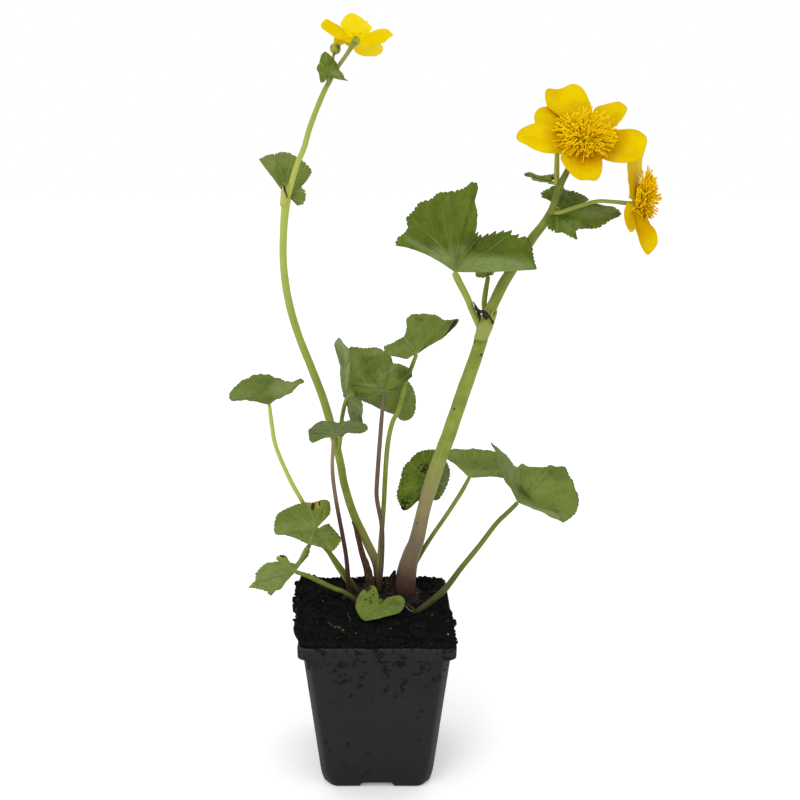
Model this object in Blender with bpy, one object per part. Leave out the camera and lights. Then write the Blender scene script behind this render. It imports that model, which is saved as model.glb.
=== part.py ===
"""Marsh marigold growing in a square nursery pot.

The pot stands on the ground plane.  Positions below are in millimetres from the middle of
the pot's base: +X to the right, +Y to the back, +Z up.  The whole plant hangs from one empty
that moves the pot aside, so that the origin is under the middle of the plant's full spread.
"""
import math

import bmesh
import bpy
from mathutils import Vector, noise

MM = 0.001
GAP = 0.3
POT_PLACE = (-22.0, 8.2)

# Pot
POT_HEIGHT = 100.0
RIM_WIDTH = 90.8
RIM_CORNER = 4.5
LIP_HEIGHT = 7.0
LIP_STEP = 1.3
LIP_INSIDE = 1.5
NECK_WIDTH = 85.4
BASE_WIDTH = 66.8
WALL_CORNER = 7.0
WALL = 1.3
RIM_WALL = 2.1
EDGE_EASE = 1.0
LIP_EASE = 0.6
CORNER_POINTS = 4
FLOOR_UNDER = 3.5
FLOOR_TOP = 5.2
FOOT_WALL = 3.2
NOTCH_WIDTH = 18.0
DRAIN_RADIUS = 4.0
DRAIN_REACH = 17.0
DRAIN_POINTS = 12

# Soil: its level and lumps, the depth and reach of the spill past the left rim, and how far
# the spill rises between SPILL_START and SPILL_START - SPILL_RUN.
SOIL_LEVEL = 99.6
SOIL_BUMP = 1.3
SOIL_WAVES = (0.09, 0.23)
SOIL_INSET = 2.3
SOIL_SPILL = [
    (-44, -1.0), (-36, 0.5), (-21, 5.0), (-4, 5.3), (7, 9.0), (20, 8.0), (38, 8.8), (44, 7.0),
]
SPILL_RISE = 3.0
SPILL_START = -34.0
SPILL_RUN = 8.0
SPILL_FRONT_RUN = 12.0
SOIL_CELLS = (11, 10)
HEAP_BOTTOM = 97.0
PLUG_TOP = 97.8
CLEARANCE_BOTTOM = 87.0

# Rootstock at the foot of the stems
CROWN_CENTRE = (4.0, 19.5, 97.4)
CROWN_REACH = (29.0, 20.5, 5.5)

# Sheets and tubes
BLADE_THICK = 0.9
BLADE_RAYS = 16
BLADE_RINGS = 2
PETAL_THICK = 0.7
PETAL_RAYS = 8
PETAL_RINGS = 2
ROUND_TUBE = 2
SLIM_TUBE = 1

# Each stem is a chain of points with the stem's radius: x, y, z, radius.
LEFT_STEM = [
    (1, 31, 95, 2.9), (0, 32, 115, 2.9), (-8, 33, 134, 2.7), (-15, 34, 150, 2.6),
    (-20.5, 34, 169, 2.5), (-23.5, 35, 186, 2.5), (-29.5, 35, 212, 2.6), (-33.5, 36, 228, 2.5),
    (-41.5, 36, 246, 2.4), (-49, 37, 266, 2.3), (-54, 38, 286, 2.3), (-56, 39, 307, 2.2),
    (-55.5, 40, 328, 2.2), (-53.5, 41, 346, 2.6),
]
LEFT_UPPER_STEM = [
    (-50.5, 41, 354, 1.5), (-47, 42, 365, 1.4), (-43, 42, 375, 1.4), (-39.4, 43, 387, 1.4),
    (-31.5, 44, 404, 1.4), (-26, 45, 414, 1.4),
]
LEFT_FLOWER_STALK = [(-22, 45, 420, 1.2), (-18, 44, 425, 1.2), (-15, 43, 429, 1.3)]
RIGHT_STEM = [
    (17, 25, 94, 6.4), (20, 22, 121, 5.5), (25, 18, 140, 4.6), (29, 13, 163, 4.1),
    (33, 8, 181, 4.5), (37.3, 3, 198, 4.2), (42.3, -3, 216, 4.1), (47.3, -9, 236, 4.0),
    (52, -14, 254, 3.8), (56, -18, 269, 3.6), (58, -22, 283, 3.9),
]
RIGHT_UPPER_STEM = [
    (62.6, -22, 293, 2.9), (66.6, -22, 302, 2.9), (70.5, -23, 309, 2.8), (80, -27, 326, 2.5),
    (84.6, -33, 334, 2.4), (87.6, -38, 341, 2.3), (88.6, -42, 347, 2.2), (90, -46, 355, 2.2),
]
FACING_FLOWER_STALK = [(92, -49, 360, 1.6), (94, -51, 365, 1.4), (97, -52, 370, 1.4)]
SIDE_FLOWER_STALK = [
    (87, -39, 341, 1.0), (92, -46, 341, 1.0), (97, -51, 344, 1.0), (105, -55, 346, 0.95),
    (112, -57, 346, 0.95),
]
RIGHT_BUD_STALK = [
    (88, -45, 354, 1.2), (88, -44, 361, 1.2), (88, -43, 367, 1.1), (88, -42, 372, 1.0),
]
RIGHT_BUD = (2.6, 3.0)
LEFT_BUD_STALK = [(-27, 45, 413, 0.9), (-27, 48, 420, 0.9), (-25, 49, 426, 0.9)]
LEFT_BUD = (3.0, 3.2)
OLD_SHEATH = [(7.4, 24, 96, 3.2), (8.0, 24, 104, 3.0), (9.6, 24, 110, 1.8), (10.6, 24, 113, 0.8)]
DEAD_STUB = [
    (-3, 25, 98, 2.8), (-5, 26, 110, 2.6), (-10, 28, 128, 1.7), (-14, 30, 142, 0.8),
    (-16, 31, 146, 0.4),
]

# Each leaf has a stalk, as the stems, and a rim that its veins reach: offsets of the rim's
# points from the top of the stalk, in order round the blade.  A closed rim goes all round.
LEAVES = {
    "high_leaf": {
        "stalk": [
            (57, -22, 276, 1.8), (53.2, -23, 284, 1.8), (50.2, -25, 290, 1.7), (47.6, -27, 296, 1.7),
            (42.9, -29, 304, 1.6), (40, -31, 310, 1.5),
        ],
        "rim": [
            (41, -9, 1), (40, -6, 11), (37, -4, 18), (29, -1, 21), (21, 1, 21), (13, 0, 18),
            (11.5, 6, 27), (13, 13, 36), (14, 18, 46), (11, 18, 47), (1, 16, 41), (-8, 14, 39.5),
            (-18, 12, 35), (-25, 9, 28), (-26, 7, 22), (-32, 4, 13),
        ],
        "foot": ("right_stem", "right_upper_stem"),
    },
    "collar_leaf": {
        "stalk": [(87, -39, 341, 1.2), (90, -37, 341, 1.2), (92, -36, 342, 1.2)],
        "rim": [
            (-7, -3, -6), (-6, -4, -9), (1, -6, -11), (3, -7, -13), (5, -8, -14),
            (8, -9, -14), (8, -7, -10), (17, -8, -9.5), (25, -6, -5), (31, -2, -2), (28, 1, 1),
            (19, 2, 2), (13, 2, 3), (16, 6, 4), (10, 8, 8), (5, 8, 10), (2, 7, 12), (-2, 6, 11),
            (-6, 5, 9), (-9, 4, 8), (-9, 3, 6),
        ],
        "foot": ("right_upper_stem",),
    },
    "narrow_leaf": {
        "stalk": [(89, -43, 350, 0.9), (87, -40, 352, 0.9), (85, -39, 355, 0.9)],
        "rim": [
            (-5, -3, 0), (-10, -5, 2), (-13, -5, 3), (-12, -3, 5), (-7, 0, 4), (-2, 2, 3),
            (1, 3, 4), (3, 3, 4),
        ],
        "foot": ("right_upper_stem",),
    },
    "left_node_leaf": {
        "stalk": [(-54, 41, 343, 1.5), (-55, 44, 345, 1.4), (-55, 48, 348, 1.3)],
        "rim": [
            (8, -5, -6), (12, -6, -5), (13, -5, 1), (11, -3, 4), (10, -1, 5), (14, 3, 10),
            (16, 4, 14), (13, 5, 18), (7, 7, 22), (-1, 8, 24), (-10, 5, 23), (-15, 1, 20),
        ],
        "foot": ("left_stem", "left_upper_stem"),
    },
    "bract_leaf": {
        "stalk": [(-28, 44, 410, 1.0), (-28, 41, 412, 1.0), (-28, 39, 414, 1.0)],
        "rim": [
            (-3, -1, -5), (-5, -2, -3), (-5, -1, 1), (-7, 1, 5), (-5, 2, 9), (-2, 3, 13),
            (2, 3, 9), (4, 2, 6), (7, 1, 3), (9, -1, -1), (11, -2, -2),
        ],
        "foot": ("left_upper_stem",),
    },
    "left_cup_leaf": {
        "stalk": [
            (-13, 32, 95, 1.7), (-23, 32, 110, 1.6), (-32, 31, 127, 1.5), (-47, 29, 160, 1.4),
            (-54, 27, 175, 1.4), (-62, 25, 197, 1.3), (-64, 23, 212, 1.3), (-65, 22, 225, 1.2),
        ],
        "rim": [
            (-4, -3, 1), (-11, -6, 4), (-22, -4, 4), (-24, 2, 7), (-19, 14, 11), (-12, 20, 14),
            (-3, 24, 13), (3, 20, 11), (12, 12, 11), (21, 4, 15), (16, 2, 10), (12, -2, 6),
            (5, -3, 2),
        ],
        "foot": ("ground",),
    },
    "edge_on_leaf": {
        "stalk": [
            (-17.5, 19, 98, 1.4), (-19, 18, 124, 1.2), (-21, 17, 140, 1.2), (-25, 15, 166, 1.1),
            (-27, 14, 186, 1.1), (-26, 10, 208, 1.1),
        ],
        "rim": [
            (-7, 2, -1), (-12, 0, -3), (-14, -6, 1), (-13, -12, 10), (-6, -16, 13), (2, -17, 15),
            (11, -16, 14), (18, -12, 13), (21, -4, 7), (20, 2, 3), (11, 5, 0), (6, 4, -2),
        ],
        "foot": ("ground",),
    },
    "centre_leaf": {
        "stalk": [
            (1, 19, 103, 1.5), (3, 19, 125, 1.4), (3, 18, 148, 1.3), (0, 17, 166, 1.2),
            (0, 17, 178, 1.2), (2, 15, 208, 1.2), (4, 14, 235, 1.1),
        ],
        "rim": [
            (15, -5, 3), (17, -6, 10), (15, -7, 16), (10, -4, 20), (4, 3, 20), (2, 9, 24),
            (-5, 10, 25), (-13, 9, 25), (-20, 6, 26), (-20, 2, 20), (-23, -1, 12), (-22, 0, 4),
            (-20, 1, -1), (-18, 2, -4), (-10, 4, -7), (-1, 6, -12), (5, 9, -17), (10, 11, -21),
            (16, 14, -21), (20, 15, -12), (19, 13, -4),
        ],
        "foot": ("ground",),
    },
    "strip_leaf": {
        "stalk": [
            (-24.5, 34.5, 189, 1.3), (-22, 28, 203, 1.2), (-21, 21, 215, 1.2), (-18, 13, 225, 1.2),
            (-14, 6, 234, 1.1),
        ],
        "rim": [
            (5, -2, -6), (6, -2, -11), (5, 0, -16), (1, 2, -18), (-2, 3, -16), (-4, 3, -9),
            (-5, 2, -1), (-7, -1, 7), (-8, -4, 18), (-11, -7, 33), (-8, -7, 37), (-4, -6, 31),
            (-1, -5, 27),
        ],
        "foot": ("left_stem",),
    },
    "tall_leaf": {
        "stalk": [
            (1, 26, 99, 1.7), (2, 25, 129, 1.6), (4, 24, 156, 1.5), (6, 19, 196, 1.5),
            (9, 16, 215, 1.4), (13, 15, 224, 1.4), (17, 15, 241, 1.3), (20, 14, 249, 1.3),
            (23, 12, 258, 1.2),
        ],
        "rim": [
            (-5, -2, -2), (-12, -3, -1), (-17, -3, 0), (-19, -2, 5), (-12, 2, 7), (-7, 6, 10),
            (-5.5, 10, 15), (-5, 13, 20), (2, 14, 21.5), (8, 14, 21), (13, 13, 21), (17, 11, 18),
            (25, 12, 19), (23, 8, 15), (15, 4, 8),
        ],
        "foot": ("ground",),
    },
    "spotted_leaf": {
        "stalk": [
            (16, 39, 97, 1.5), (18, 36, 114, 1.4), (24, 31, 133, 1.3), (29, 24, 158, 1.2),
            (33, 18, 177, 1.2),
        ],
        "rim": [
            (3, 3, -13), (-7, 2, -13), (-13, 1, -18), (-17, 1, -19), (-19, 1, -15),
            (-21, 2, -9), (-19, 3, 0), (-17, 4, 8), (-13, 5, 13), (-9, 5, 17), (-3, 5, 19),
            (4, 4, 19), (10, 3, 12), (12, 2, 4), (9, 2, -6), (6, 2, -11),
        ],
        "closed": True,
        "foot": ("ground",),
    },
    "right_inner_leaf": {
        "stalk": [
            (22, 34, 98, 1.6), (23, 31, 112, 1.5), (28, 26, 126, 1.4), (34, 20, 140, 1.4),
            (42, 14, 156, 1.3), (51, 9, 174, 1.3), (55, 6, 184, 1.2),
        ],
        "rim": [
            (-13, 10, 9), (-10, 14, 13), (-1, 18, 12), (8, 18, 12), (17, 16, 11), (19, 13, 6),
            (21, 9, 1), (22, 5, -2),
        ],
        "foot": ("ground",),
    },
    "right_outer_leaf": {
        "stalk": [
            (20, 1, 95, 2.0), (26, -1, 101, 2.0), (32, -1, 106, 1.9), (41, -1, 114, 1.9),
            (51, -1, 129, 1.8), (61, 0, 143, 1.7), (71, 1, 157, 1.7), (79, 2, 165, 1.6),
            (84, 2, 170, 1.5),
        ],
        "rim": [
            (-13, -6, 22), (-16, -7, 32), (-18, -8, 40), (-13, -5, 34), (-7, -2, 27), (-1, 4, 20),
            (3, 10, 21), (13, 16, 17), (20, 17, 16), (25, 16, 17), (31, 13, 18), (35, 9, 10),
            (38, 4, 1), (34, -3, -7), (27, -7, -9.5),
        ],
        "foot": ("ground",),
    },
    "low_left_leaf": {
        "stalk": [
            (-10, 24, 97, 1.8), (-20, 24, 112, 1.8), (-30, 23, 127, 1.7), (-36, 20, 137, 1.6),
            (-39, 16, 145, 1.5),
        ],
        "rim": [
            (10, 3, 11), (10, 5, 17), (7, 6, 19), (-1, 7, 17), (-9, 8, 16), (-20, 6, 12),
            (-24, 2, 8), (-24, -4, 1), (-17, -5, 0), (-10, -6, -2), (-2, -8, -5), (7, -9, -7),
            (12, -8, -9), (17, -3, -4), (15, 0, -1), (9, 2, 5),
        ],
        "foot": ("ground",),
    },
    "lowest_left_leaf": {
        "stalk": [
            (-10, 12, 98, 1.8), (-20, 10, 107, 1.7), (-28, 9, 111, 1.7), (-42, 6, 120, 1.6),
            (-50, 4, 124, 1.4),
        ],
        "rim": [
            (10, 8, 14), (5, 8, 12), (2, 6, 8), (-2, 5, 6), (-10, 5, 9), (-12, 3, 5), (-21, 1, 4),
            (-24, -4, -2), (-28, -8, -6), (-20, -8, -7), (-15, -10, -11),
        ],
        "foot": ("ground",),
    },
    "soil_leaf": {
        "stalk": [(3, 14, 99, 1.2), (2, 3, 105, 1.2), (1, -6, 106, 1.2)],
        "rim": [
            (0, 3, 6), (-2, 6, 10), (-5, 6, 11), (-8, 5, 10), (-12, 2, 7), (-14, -3, 2),
            (-11, -8, -3), (-7, -11, -4), (3, -9, -3), (12, -6, -1), (16, -2, 3), (14, 1, 6),
            (10, 2, 6), (6, 2, 5),
        ],
        "foot": ("ground",),
    },
    "shoot_leaf": {
        "stalk": [
            (59, -21, 285, 1.6), (57.8, -18, 291, 1.5), (58.7, -16, 299, 1.4), (60, -14, 306, 1.3),
        ],
        "rim": [
            (-3, -2, -1), (-7, -1, 0), (-7, 0, 4), (-4, 2, 8), (-1, 3, 11), (3, 2, 8), (4, 0, 4),
            (2, -1, 0),
        ],
        "foot": ("right_stem", "right_upper_stem"),
    },
}

# Each flower: the joint where its petals meet, the way it faces, its tuft of stamens, and
# for every petal its root and its rim, as offsets from the joint.
FLOWERS = {
    "facing_flower": {
        "joint": (98, -57, 376),
        "faces": (0.0, -0.82, 0.57),
        "tuft": (13.0, 10.5, 4.6),
        "petals": [
            ((-1, 1, 3), [
                (-12, 5, 10), (-17, 8, 14), (-18, 10, 20), (-16, 12, 22.5), (-11, 11, 22),
                (-5, 13, 24.5), (-1, 12, 23.5), (2, 10, 19), (4, 7, 13), (3, 3, 8)]),
            ((2, 2, 2), [
                (4, 6, 11), (7, 8, 14), (15, 9, 16), (18, 9, 16), (21, 8, 13), (19, 6, 9),
                (15, 3, 5), (10, 2, 1)]),
            ((3, -1, -1), [
                (10, 1, 3), (16, 0, 3), (23, -1, 3), (26.5, -2, 1), (28, -4, -2), (26.5, -6, -7.5),
                (25, -8, -10), (20, -8, -12), (12, -8, -12), (6, -7, -10)]),
            ((0, -2, -3), [
                (-10.5, -8, -7), (-13.5, -11, -10), (-12, -12, -13), (-9, -13, -17), (-5, -15, -20),
                (-1, -15, -20), (3, -15, -20), (5.5, -13, -16), (6, -10, -11), (5, -6, -6)]),
            ((-3, -1, -1), [
                (-10, 0, 4), (-17, 0, 5), (-23, 0, 6), (-28, -1, 4.5), (-32, -3, 2), (-33, -5, -1.5),
                (-29, -6, -4), (-23, -7, -7), (-18, -6, -8), (-11, -4, -7.5), (-7, -3, -4)]),
            ((-2, 2, 2), [
                (-11, 5, 2), (-21, 5, 4), (-23, 6, 7), (-23, 8, 10), (-21, 9, 13), (-17, 10, 14),
                (-13, 9, 13)]),
        ],
    },
    "side_flower": {
        "joint": (122, -60, 345),
        "faces": (0.93, -0.3, -0.1),
        "tuft": (12.5, 8.0, 4.8),
        "petals": [
            ((0, 0, 2), [
                (-3, -2, 5), (-4.2, -2.5, 12.8), (-4.7, -2, 20), (-3.4, 0, 24.6), (0.7, 3, 26),
                (4.2, 6, 23), (4.7, 7, 17.5), (4.6, 7, 12.9), (3, 4, 5)]),
            ((0, 0, -2), [
                (-4, -2, 0), (-4.9, -2, -4.2), (-3.3, -1, -9.3), (0, 2, -13.2), (2.5, 3, -11.4),
                (2.5, 3, -5.3)]),
            ((-2, -6, -5), [
                (-1.8, -13, -11.3), (0.6, -14.5, -18.4), (3.5, -15, -22.6), (5.3, -15, -22),
                (8.1, -15, -17.7), (7.7, -14, -12.8), (5.6, -12.5, -9.7), (1.5, -10, -5.5)]),
            ((2, 3, 1), [
                (1, 7, 4), (2, 13, 8), (5, 18, 11), (9, 22, 10), (11, 22, 6), (9, 16, 3),
                (4, 8, 1)]),
            ((2, 3, -1), [
                (8, 15, -2), (10, 20, -6), (9, 21, -9), (5, 18, -10), (2, 12, -9)]),
        ],
    },
    "left_flower": {
        "joint": (-12, 42, 433),
        "faces": (0.1, 0.55, 0.83),
        "tuft": (9.0, 9.0, 3.4),
        "petals": [
            ((-2, -1, 1), [
                (-6, -1, 0), (-11, -1, 1), (-16, -3, 4), (-19, -5, 6), (-19, -7, 8),
                (-16, -8, 10), (-14, -8, 9), (-8, -7, 6), (-4, -4, 3)]),
            ((0, -2, 2), [
                (-5, -7, 3), (-8, -12, 6), (-7, -15, 8), (-5, -18, 10), (-2, -19, 11),
                (1, -19, 10), (5, -17, 8), (8, -13, 6), (9, -10, 4), (5, -5, 2)]),
            ((2, -1, 1), [
                (6, -5, 3), (14, -7, 5), (17, -7, 5), (19, -6, 4), (21, -4, 2), (19, -3, 1),
                (16, 0, -1), (12, 1, -2), (6, 1, -2)]),
            ((1, 2, 0), [
                (15, 8, -1.5), (15, 13, -4), (12, 16, -6), (9, 17, -6), (4, 15, -6), (0, 12, -5)]),
            ((-1, 2, 0), [
                (-1, 5, -2), (-4, 8, -2), (-7, 11, 0), (-10, 13, -1), (-13, 13, 0), (-13, 11, 2),
                (-12, 8, 3), (-6, 4, 1)]),
        ],
    },
}
JOINT = 1.5
NECK_RADIUS = 1.8
NECK_BACK = 1.0
TUFT_LIFT = 4.8
TUFT_BACK = 3.4
SPIKE = 1.6

# Colours: linear red, green, blue, then roughness.
FINISHES = {
    "pot": ((0.022, 0.022, 0.021), 0.45),
    "soil": ((0.010, 0.009, 0.008), 0.95),
    "crown": ((0.050, 0.030, 0.018), 0.9),
    "dead": ((0.110, 0.035, 0.022), 0.8),
    "leaf": ((0.110, 0.200, 0.030), 0.45),
    "stem": ((0.300, 0.400, 0.080), 0.4),
    "petal": ((0.800, 0.560, 0.004), 0.35),
    "tuft": ((0.700, 0.380, 0.010), 0.6),
}


def clear_scene():
    """Remove every object that the new file starts with."""
    for old in list(bpy.data.objects):
        bpy.data.objects.remove(old, do_unlink=True)


def material(finish):
    """The Principled material of one finish, made once."""
    made = bpy.data.materials.get(finish)
    if made is None:
        colour, roughness = FINISHES[finish]
        made = bpy.data.materials.new(finish)
        made.use_nodes = True
        shader = made.node_tree.nodes["Principled BSDF"]
        shader.inputs["Base Color"].default_value = (*colour, 1.0)
        shader.inputs["Roughness"].default_value = roughness
        shader.inputs["Metallic"].default_value = 0.0
    return made


def add_object(name, mesh, finish=None):
    """A mesh object under the plant's empty; with no finish it is a hidden cutter."""
    made = bpy.data.objects.new(name, mesh)
    bpy.context.collection.objects.link(made)
    made.parent = bpy.data.objects["marsh_marigold"]
    if finish:
        mesh.materials.append(material(finish))
    else:
        made.hide_render = True
        made.display_type = "WIRE"
    return made


def mesh_from(bm, name, smooth=True):
    """Turn a bmesh, in millimetres, into a triangle mesh in metres."""
    bmesh.ops.triangulate(bm, faces=bm.faces)
    bmesh.ops.scale(bm, vec=(MM, MM, MM), verts=bm.verts)
    made = bpy.data.meshes.new(name)
    bm.to_mesh(made)
    bm.free()
    if smooth:
        made.shade_smooth()
    return made


def boolean(target, other, operation):
    """Join another object to the target, or cut it away."""
    step = target.modifiers.new(operation.title() + " " + other.name, "BOOLEAN")
    step.operation = operation
    step.object = other
    step.solver = "EXACT"
    step.use_self = operation == "UNION"


def through(points, pieces):
    """A smooth chain through the points, with that many pieces between neighbours."""
    ends = [points[0] * 2 - points[1], *points, points[-1] * 2 - points[-2]]
    chain = []
    for before, start, end, after in zip(ends, ends[1:], ends[2:], ends[3:]):
        for piece in range(pieces):
            t = piece / pieces
            chain.append(0.5 * (
                2 * start + (end - before) * t
                + (2 * before - 5 * start + 4 * end - after) * t ** 2
                + (3 * start - before - 3 * end + after) * t ** 3))
    chain.append(points[-1])
    return chain


def tube_mesh(name, route, roundness, swell=0.0):
    """A capped tube along a route of x, y, z and radius; swell adds to the radius."""
    curve = bpy.data.curves.new(name, "CURVE")
    curve.dimensions = "3D"
    curve.bevel_depth = MM
    curve.bevel_resolution = roundness
    curve.use_fill_caps = True
    spline = curve.splines.new("POLY")
    spline.points.add(len(route) - 1)
    for spot, place in zip(spline.points, route):
        spot.co = (place[0] * MM, place[1] * MM, place[2] * MM, 1.0)
        spot.radius = place[3] + swell
    carrier = bpy.data.objects.new(name, curve)
    tube = bpy.data.meshes.new_from_object(carrier)
    bpy.data.objects.remove(carrier)
    bm = bmesh.new()
    bm.from_mesh(tube)
    bmesh.ops.remove_doubles(bm, verts=bm.verts, dist=1e-6)
    bmesh.ops.recalc_face_normals(bm, faces=bm.faces)
    bm.to_mesh(tube)
    bm.free()
    tube.name = name
    tube.shade_smooth()
    return tube


def beyond(route, reach, radius=None):
    """The point that lies a little past a route's tip, in line with it."""
    tip = Vector(route[-1][:3])
    onward = (tip - Vector(route[-2][:3])).normalized()
    return (*(tip + onward * reach), radius or route[-1][3])


def continued(route, radius):
    """The first two points of a tube that carries on from a route's tip, a gap away."""
    return [beyond(route, GAP, radius), beyond(route, GAP + JOINT, radius)]


def rounded_square(bm, width, corner, height):
    """A ring of vertices round a square with rounded corners."""
    inset = width / 2 - corner
    ring = []
    for quarter in range(4):
        for step in range(CORNER_POINTS):
            angle = math.pi / 2 * (quarter + step / (CORNER_POINTS - 1))
            side_x = inset if quarter in (0, 3) else -inset
            side_y = inset if quarter in (0, 1) else -inset
            ring.append(bm.verts.new((
                side_x + corner * math.cos(angle), side_y + corner * math.sin(angle), height)))
    return [bm.edges.new((a, b)) for a, b in zip(ring, ring[1:] + ring[:1])]


def stacked_squares(name, rings):
    """A closed solid through a stack of rounded squares: width, corner, height of each."""
    bm = bmesh.new()
    loops = [rounded_square(bm, *ring) for ring in rings]
    for lower, upper in zip(loops, loops[1:]):
        bmesh.ops.bridge_loops(bm, edges=lower + upper)
    for end in (loops[0], loops[-1]):
        bmesh.ops.contextual_create(bm, geom=end)
    bmesh.ops.recalc_face_normals(bm, faces=bm.faces)
    return mesh_from(bm, name, smooth=False)


def wall_width(height):
    """The pot's outer width between its base and its lip."""
    share = height / (POT_HEIGHT - LIP_HEIGHT - LIP_STEP)
    return BASE_WIDTH + (NECK_WIDTH - BASE_WIDTH) * share


def make_pot():
    """A tapered square pot with a lip, four corner feet and drain holes."""
    lip_foot = POT_HEIGHT - LIP_HEIGHT
    neck = lip_foot - LIP_STEP
    pot = add_object("pot", stacked_squares("pot", [
        (BASE_WIDTH - EDGE_EASE, WALL_CORNER, 0.0),
        (BASE_WIDTH, WALL_CORNER, EDGE_EASE),
        (NECK_WIDTH, WALL_CORNER, neck),
        (RIM_WIDTH - LIP_EASE, RIM_CORNER, lip_foot),
        (RIM_WIDTH, RIM_CORNER, POT_HEIGHT - LIP_EASE),
        (RIM_WIDTH - EDGE_EASE, RIM_CORNER, POT_HEIGHT),
    ]), "pot")
    inside = WALL * 2
    hollow = add_object("pot_hollow", stacked_squares("pot_hollow", [
        (wall_width(FLOOR_TOP) - inside, WALL_CORNER - WALL, FLOOR_TOP),
        (NECK_WIDTH - inside, WALL_CORNER - WALL, neck),
        (RIM_WIDTH - 2 * RIM_WALL, RIM_CORNER - WALL, lip_foot + LIP_INSIDE),
        (RIM_WIDTH - 2 * RIM_WALL + LIP_EASE, RIM_CORNER - WALL, POT_HEIGHT + EDGE_EASE),
    ]))
    recess = add_object("foot_recess", stacked_squares("foot_recess", [
        (BASE_WIDTH - 2 * FOOT_WALL, WALL_CORNER - 2 * EDGE_EASE, -EDGE_EASE),
        (BASE_WIDTH - 2 * FOOT_WALL, WALL_CORNER - 2 * EDGE_EASE, FLOOR_UNDER),
    ]))
    cutters = [hollow, recess]
    for turn, name in ((0.0, "notch_front_back"), (math.pi / 2, "notch_left_right")):
        bm = bmesh.new()
        bmesh.ops.create_cube(bm, size=1.0)
        bmesh.ops.scale(bm, vec=(NOTCH_WIDTH, RIM_WIDTH, 2 * FLOOR_UNDER - 0.2), verts=bm.verts)
        notch = add_object(name, mesh_from(bm, name, smooth=False))
        notch.rotation_euler = (0.0, 0.0, turn)
        cutters.append(notch)
    for number in range(5):
        bm = bmesh.new()
        bmesh.ops.create_cone(
            bm, cap_ends=True, segments=DRAIN_POINTS, radius1=DRAIN_RADIUS, radius2=DRAIN_RADIUS,
            depth=2 * DRAIN_RADIUS)
        name = "drain_" + str(number + 1)
        drain = add_object(name, mesh_from(bm, name, smooth=False))
        angle = math.pi / 2 * number + math.pi / 4
        reach = DRAIN_REACH if number < 4 else 0.0
        drain.location = (
            reach * math.cos(angle) * MM, reach * math.sin(angle) * MM, FLOOR_UNDER * MM)
        cutters.append(drain)
    for cutter in cutters:
        boolean(pot, cutter, "DIFFERENCE")
    pot.data.shade_smooth()
    pot.data.set_sharp_from_angle(angle=math.radians(35))


def soil_height(x, y):
    """The lumpy top of the soil; it rises a little over the left rim, where it spills."""
    broad, fine = SOIL_WAVES
    bumps = noise.noise(Vector((x * broad, y * broad, 3.1)))
    bumps += 0.5 * noise.noise(Vector((x * fine, y * fine, 7.7)))
    spill = max(0.0, min(1.0, (SPILL_START - x) / SPILL_RUN))
    front = max(0.0, min(1.0, (y - SPILL_START) / SPILL_FRONT_RUN))
    return SOIL_LEVEL + SOIL_BUMP * bumps + SPILL_RISE * spill * front


def spill_reach(y):
    """How far past the pot's inner wall the soil spreads on the left, at a depth y."""
    for (near, reach), (far, next_reach) in zip(SOIL_SPILL, SOIL_SPILL[1:]):
        if y <= far:
            break
    return reach + (next_reach - reach) * (y - near) / (far - near)


def heap_mesh(name, bottom, lift=0.0):
    """The soil's uneven top layer, with an outline that overhangs the rim on the left."""
    inner = RIM_WIDTH / 2 - SOIL_INSET
    bm = bmesh.new()
    columns, rows = SOIL_CELLS
    bmesh.ops.create_grid(bm, x_segments=columns, y_segments=rows, size=1.0)
    for vert in bm.verts:
        across, along = vert.co.x, vert.co.y
        reach = inner
        if across < 0:
            reach += spill_reach(along * inner)
        x = across * reach
        y = along * (inner - 0.4)
        rounding = 1.0 - 0.02 * (across * along) ** 8
        vert.co = (x * rounding, y * rounding, soil_height(x, y) + lift)
    rim = [edge for edge in bm.edges if edge.is_boundary]
    skirt = bmesh.ops.extrude_edge_only(bm, edges=rim)["geom"]
    for piece in skirt:
        if isinstance(piece, bmesh.types.BMVert):
            piece.co.z = bottom
    bmesh.ops.contextual_create(
        bm, geom=[piece for piece in skirt if isinstance(piece, bmesh.types.BMEdge)])
    bmesh.ops.recalc_face_normals(bm, faces=bm.faces)
    return mesh_from(bm, name, smooth=False)


def make_soil():
    """The block of soil that fills the pot, with its heaped top."""
    soil = add_object("soil", heap_mesh("soil", HEAP_BOTTOM), "soil")
    slack = (WALL + GAP) * 2
    corner = RIM_CORNER - WALL - GAP
    plug = add_object("soil_plug", stacked_squares("soil_plug", [
        (wall_width(FLOOR_TOP) - slack, WALL_CORNER - WALL - GAP, FLOOR_TOP + GAP),
        (NECK_WIDTH - slack - GAP, WALL_CORNER - WALL - GAP, POT_HEIGHT - LIP_HEIGHT - LIP_STEP),
        (NECK_WIDTH - slack, WALL_CORNER - WALL - GAP, PLUG_TOP),
    ]))
    boolean(soil, plug, "UNION")
    rim_clearance = add_object("rim_clearance", stacked_squares("rim_clearance", [
        (RIM_WIDTH + 2 * GAP, RIM_CORNER + GAP, CLEARANCE_BOTTOM + EDGE_EASE),
        (RIM_WIDTH + 2 * GAP, RIM_CORNER + GAP, POT_HEIGHT + GAP),
    ]))
    middle = add_object("rim_clearance_middle", stacked_squares("rim_clearance_middle", [
        (RIM_WIDTH - 2 * (RIM_WALL + GAP), corner, CLEARANCE_BOTTOM),
        (RIM_WIDTH - 2 * (RIM_WALL + GAP), corner, POT_HEIGHT + EDGE_EASE),
    ]))
    boolean(rim_clearance, middle, "DIFFERENCE")
    boolean(soil, rim_clearance, "DIFFERENCE")
    boolean(soil, bpy.data.objects["crown_clearance"], "DIFFERENCE")


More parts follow.
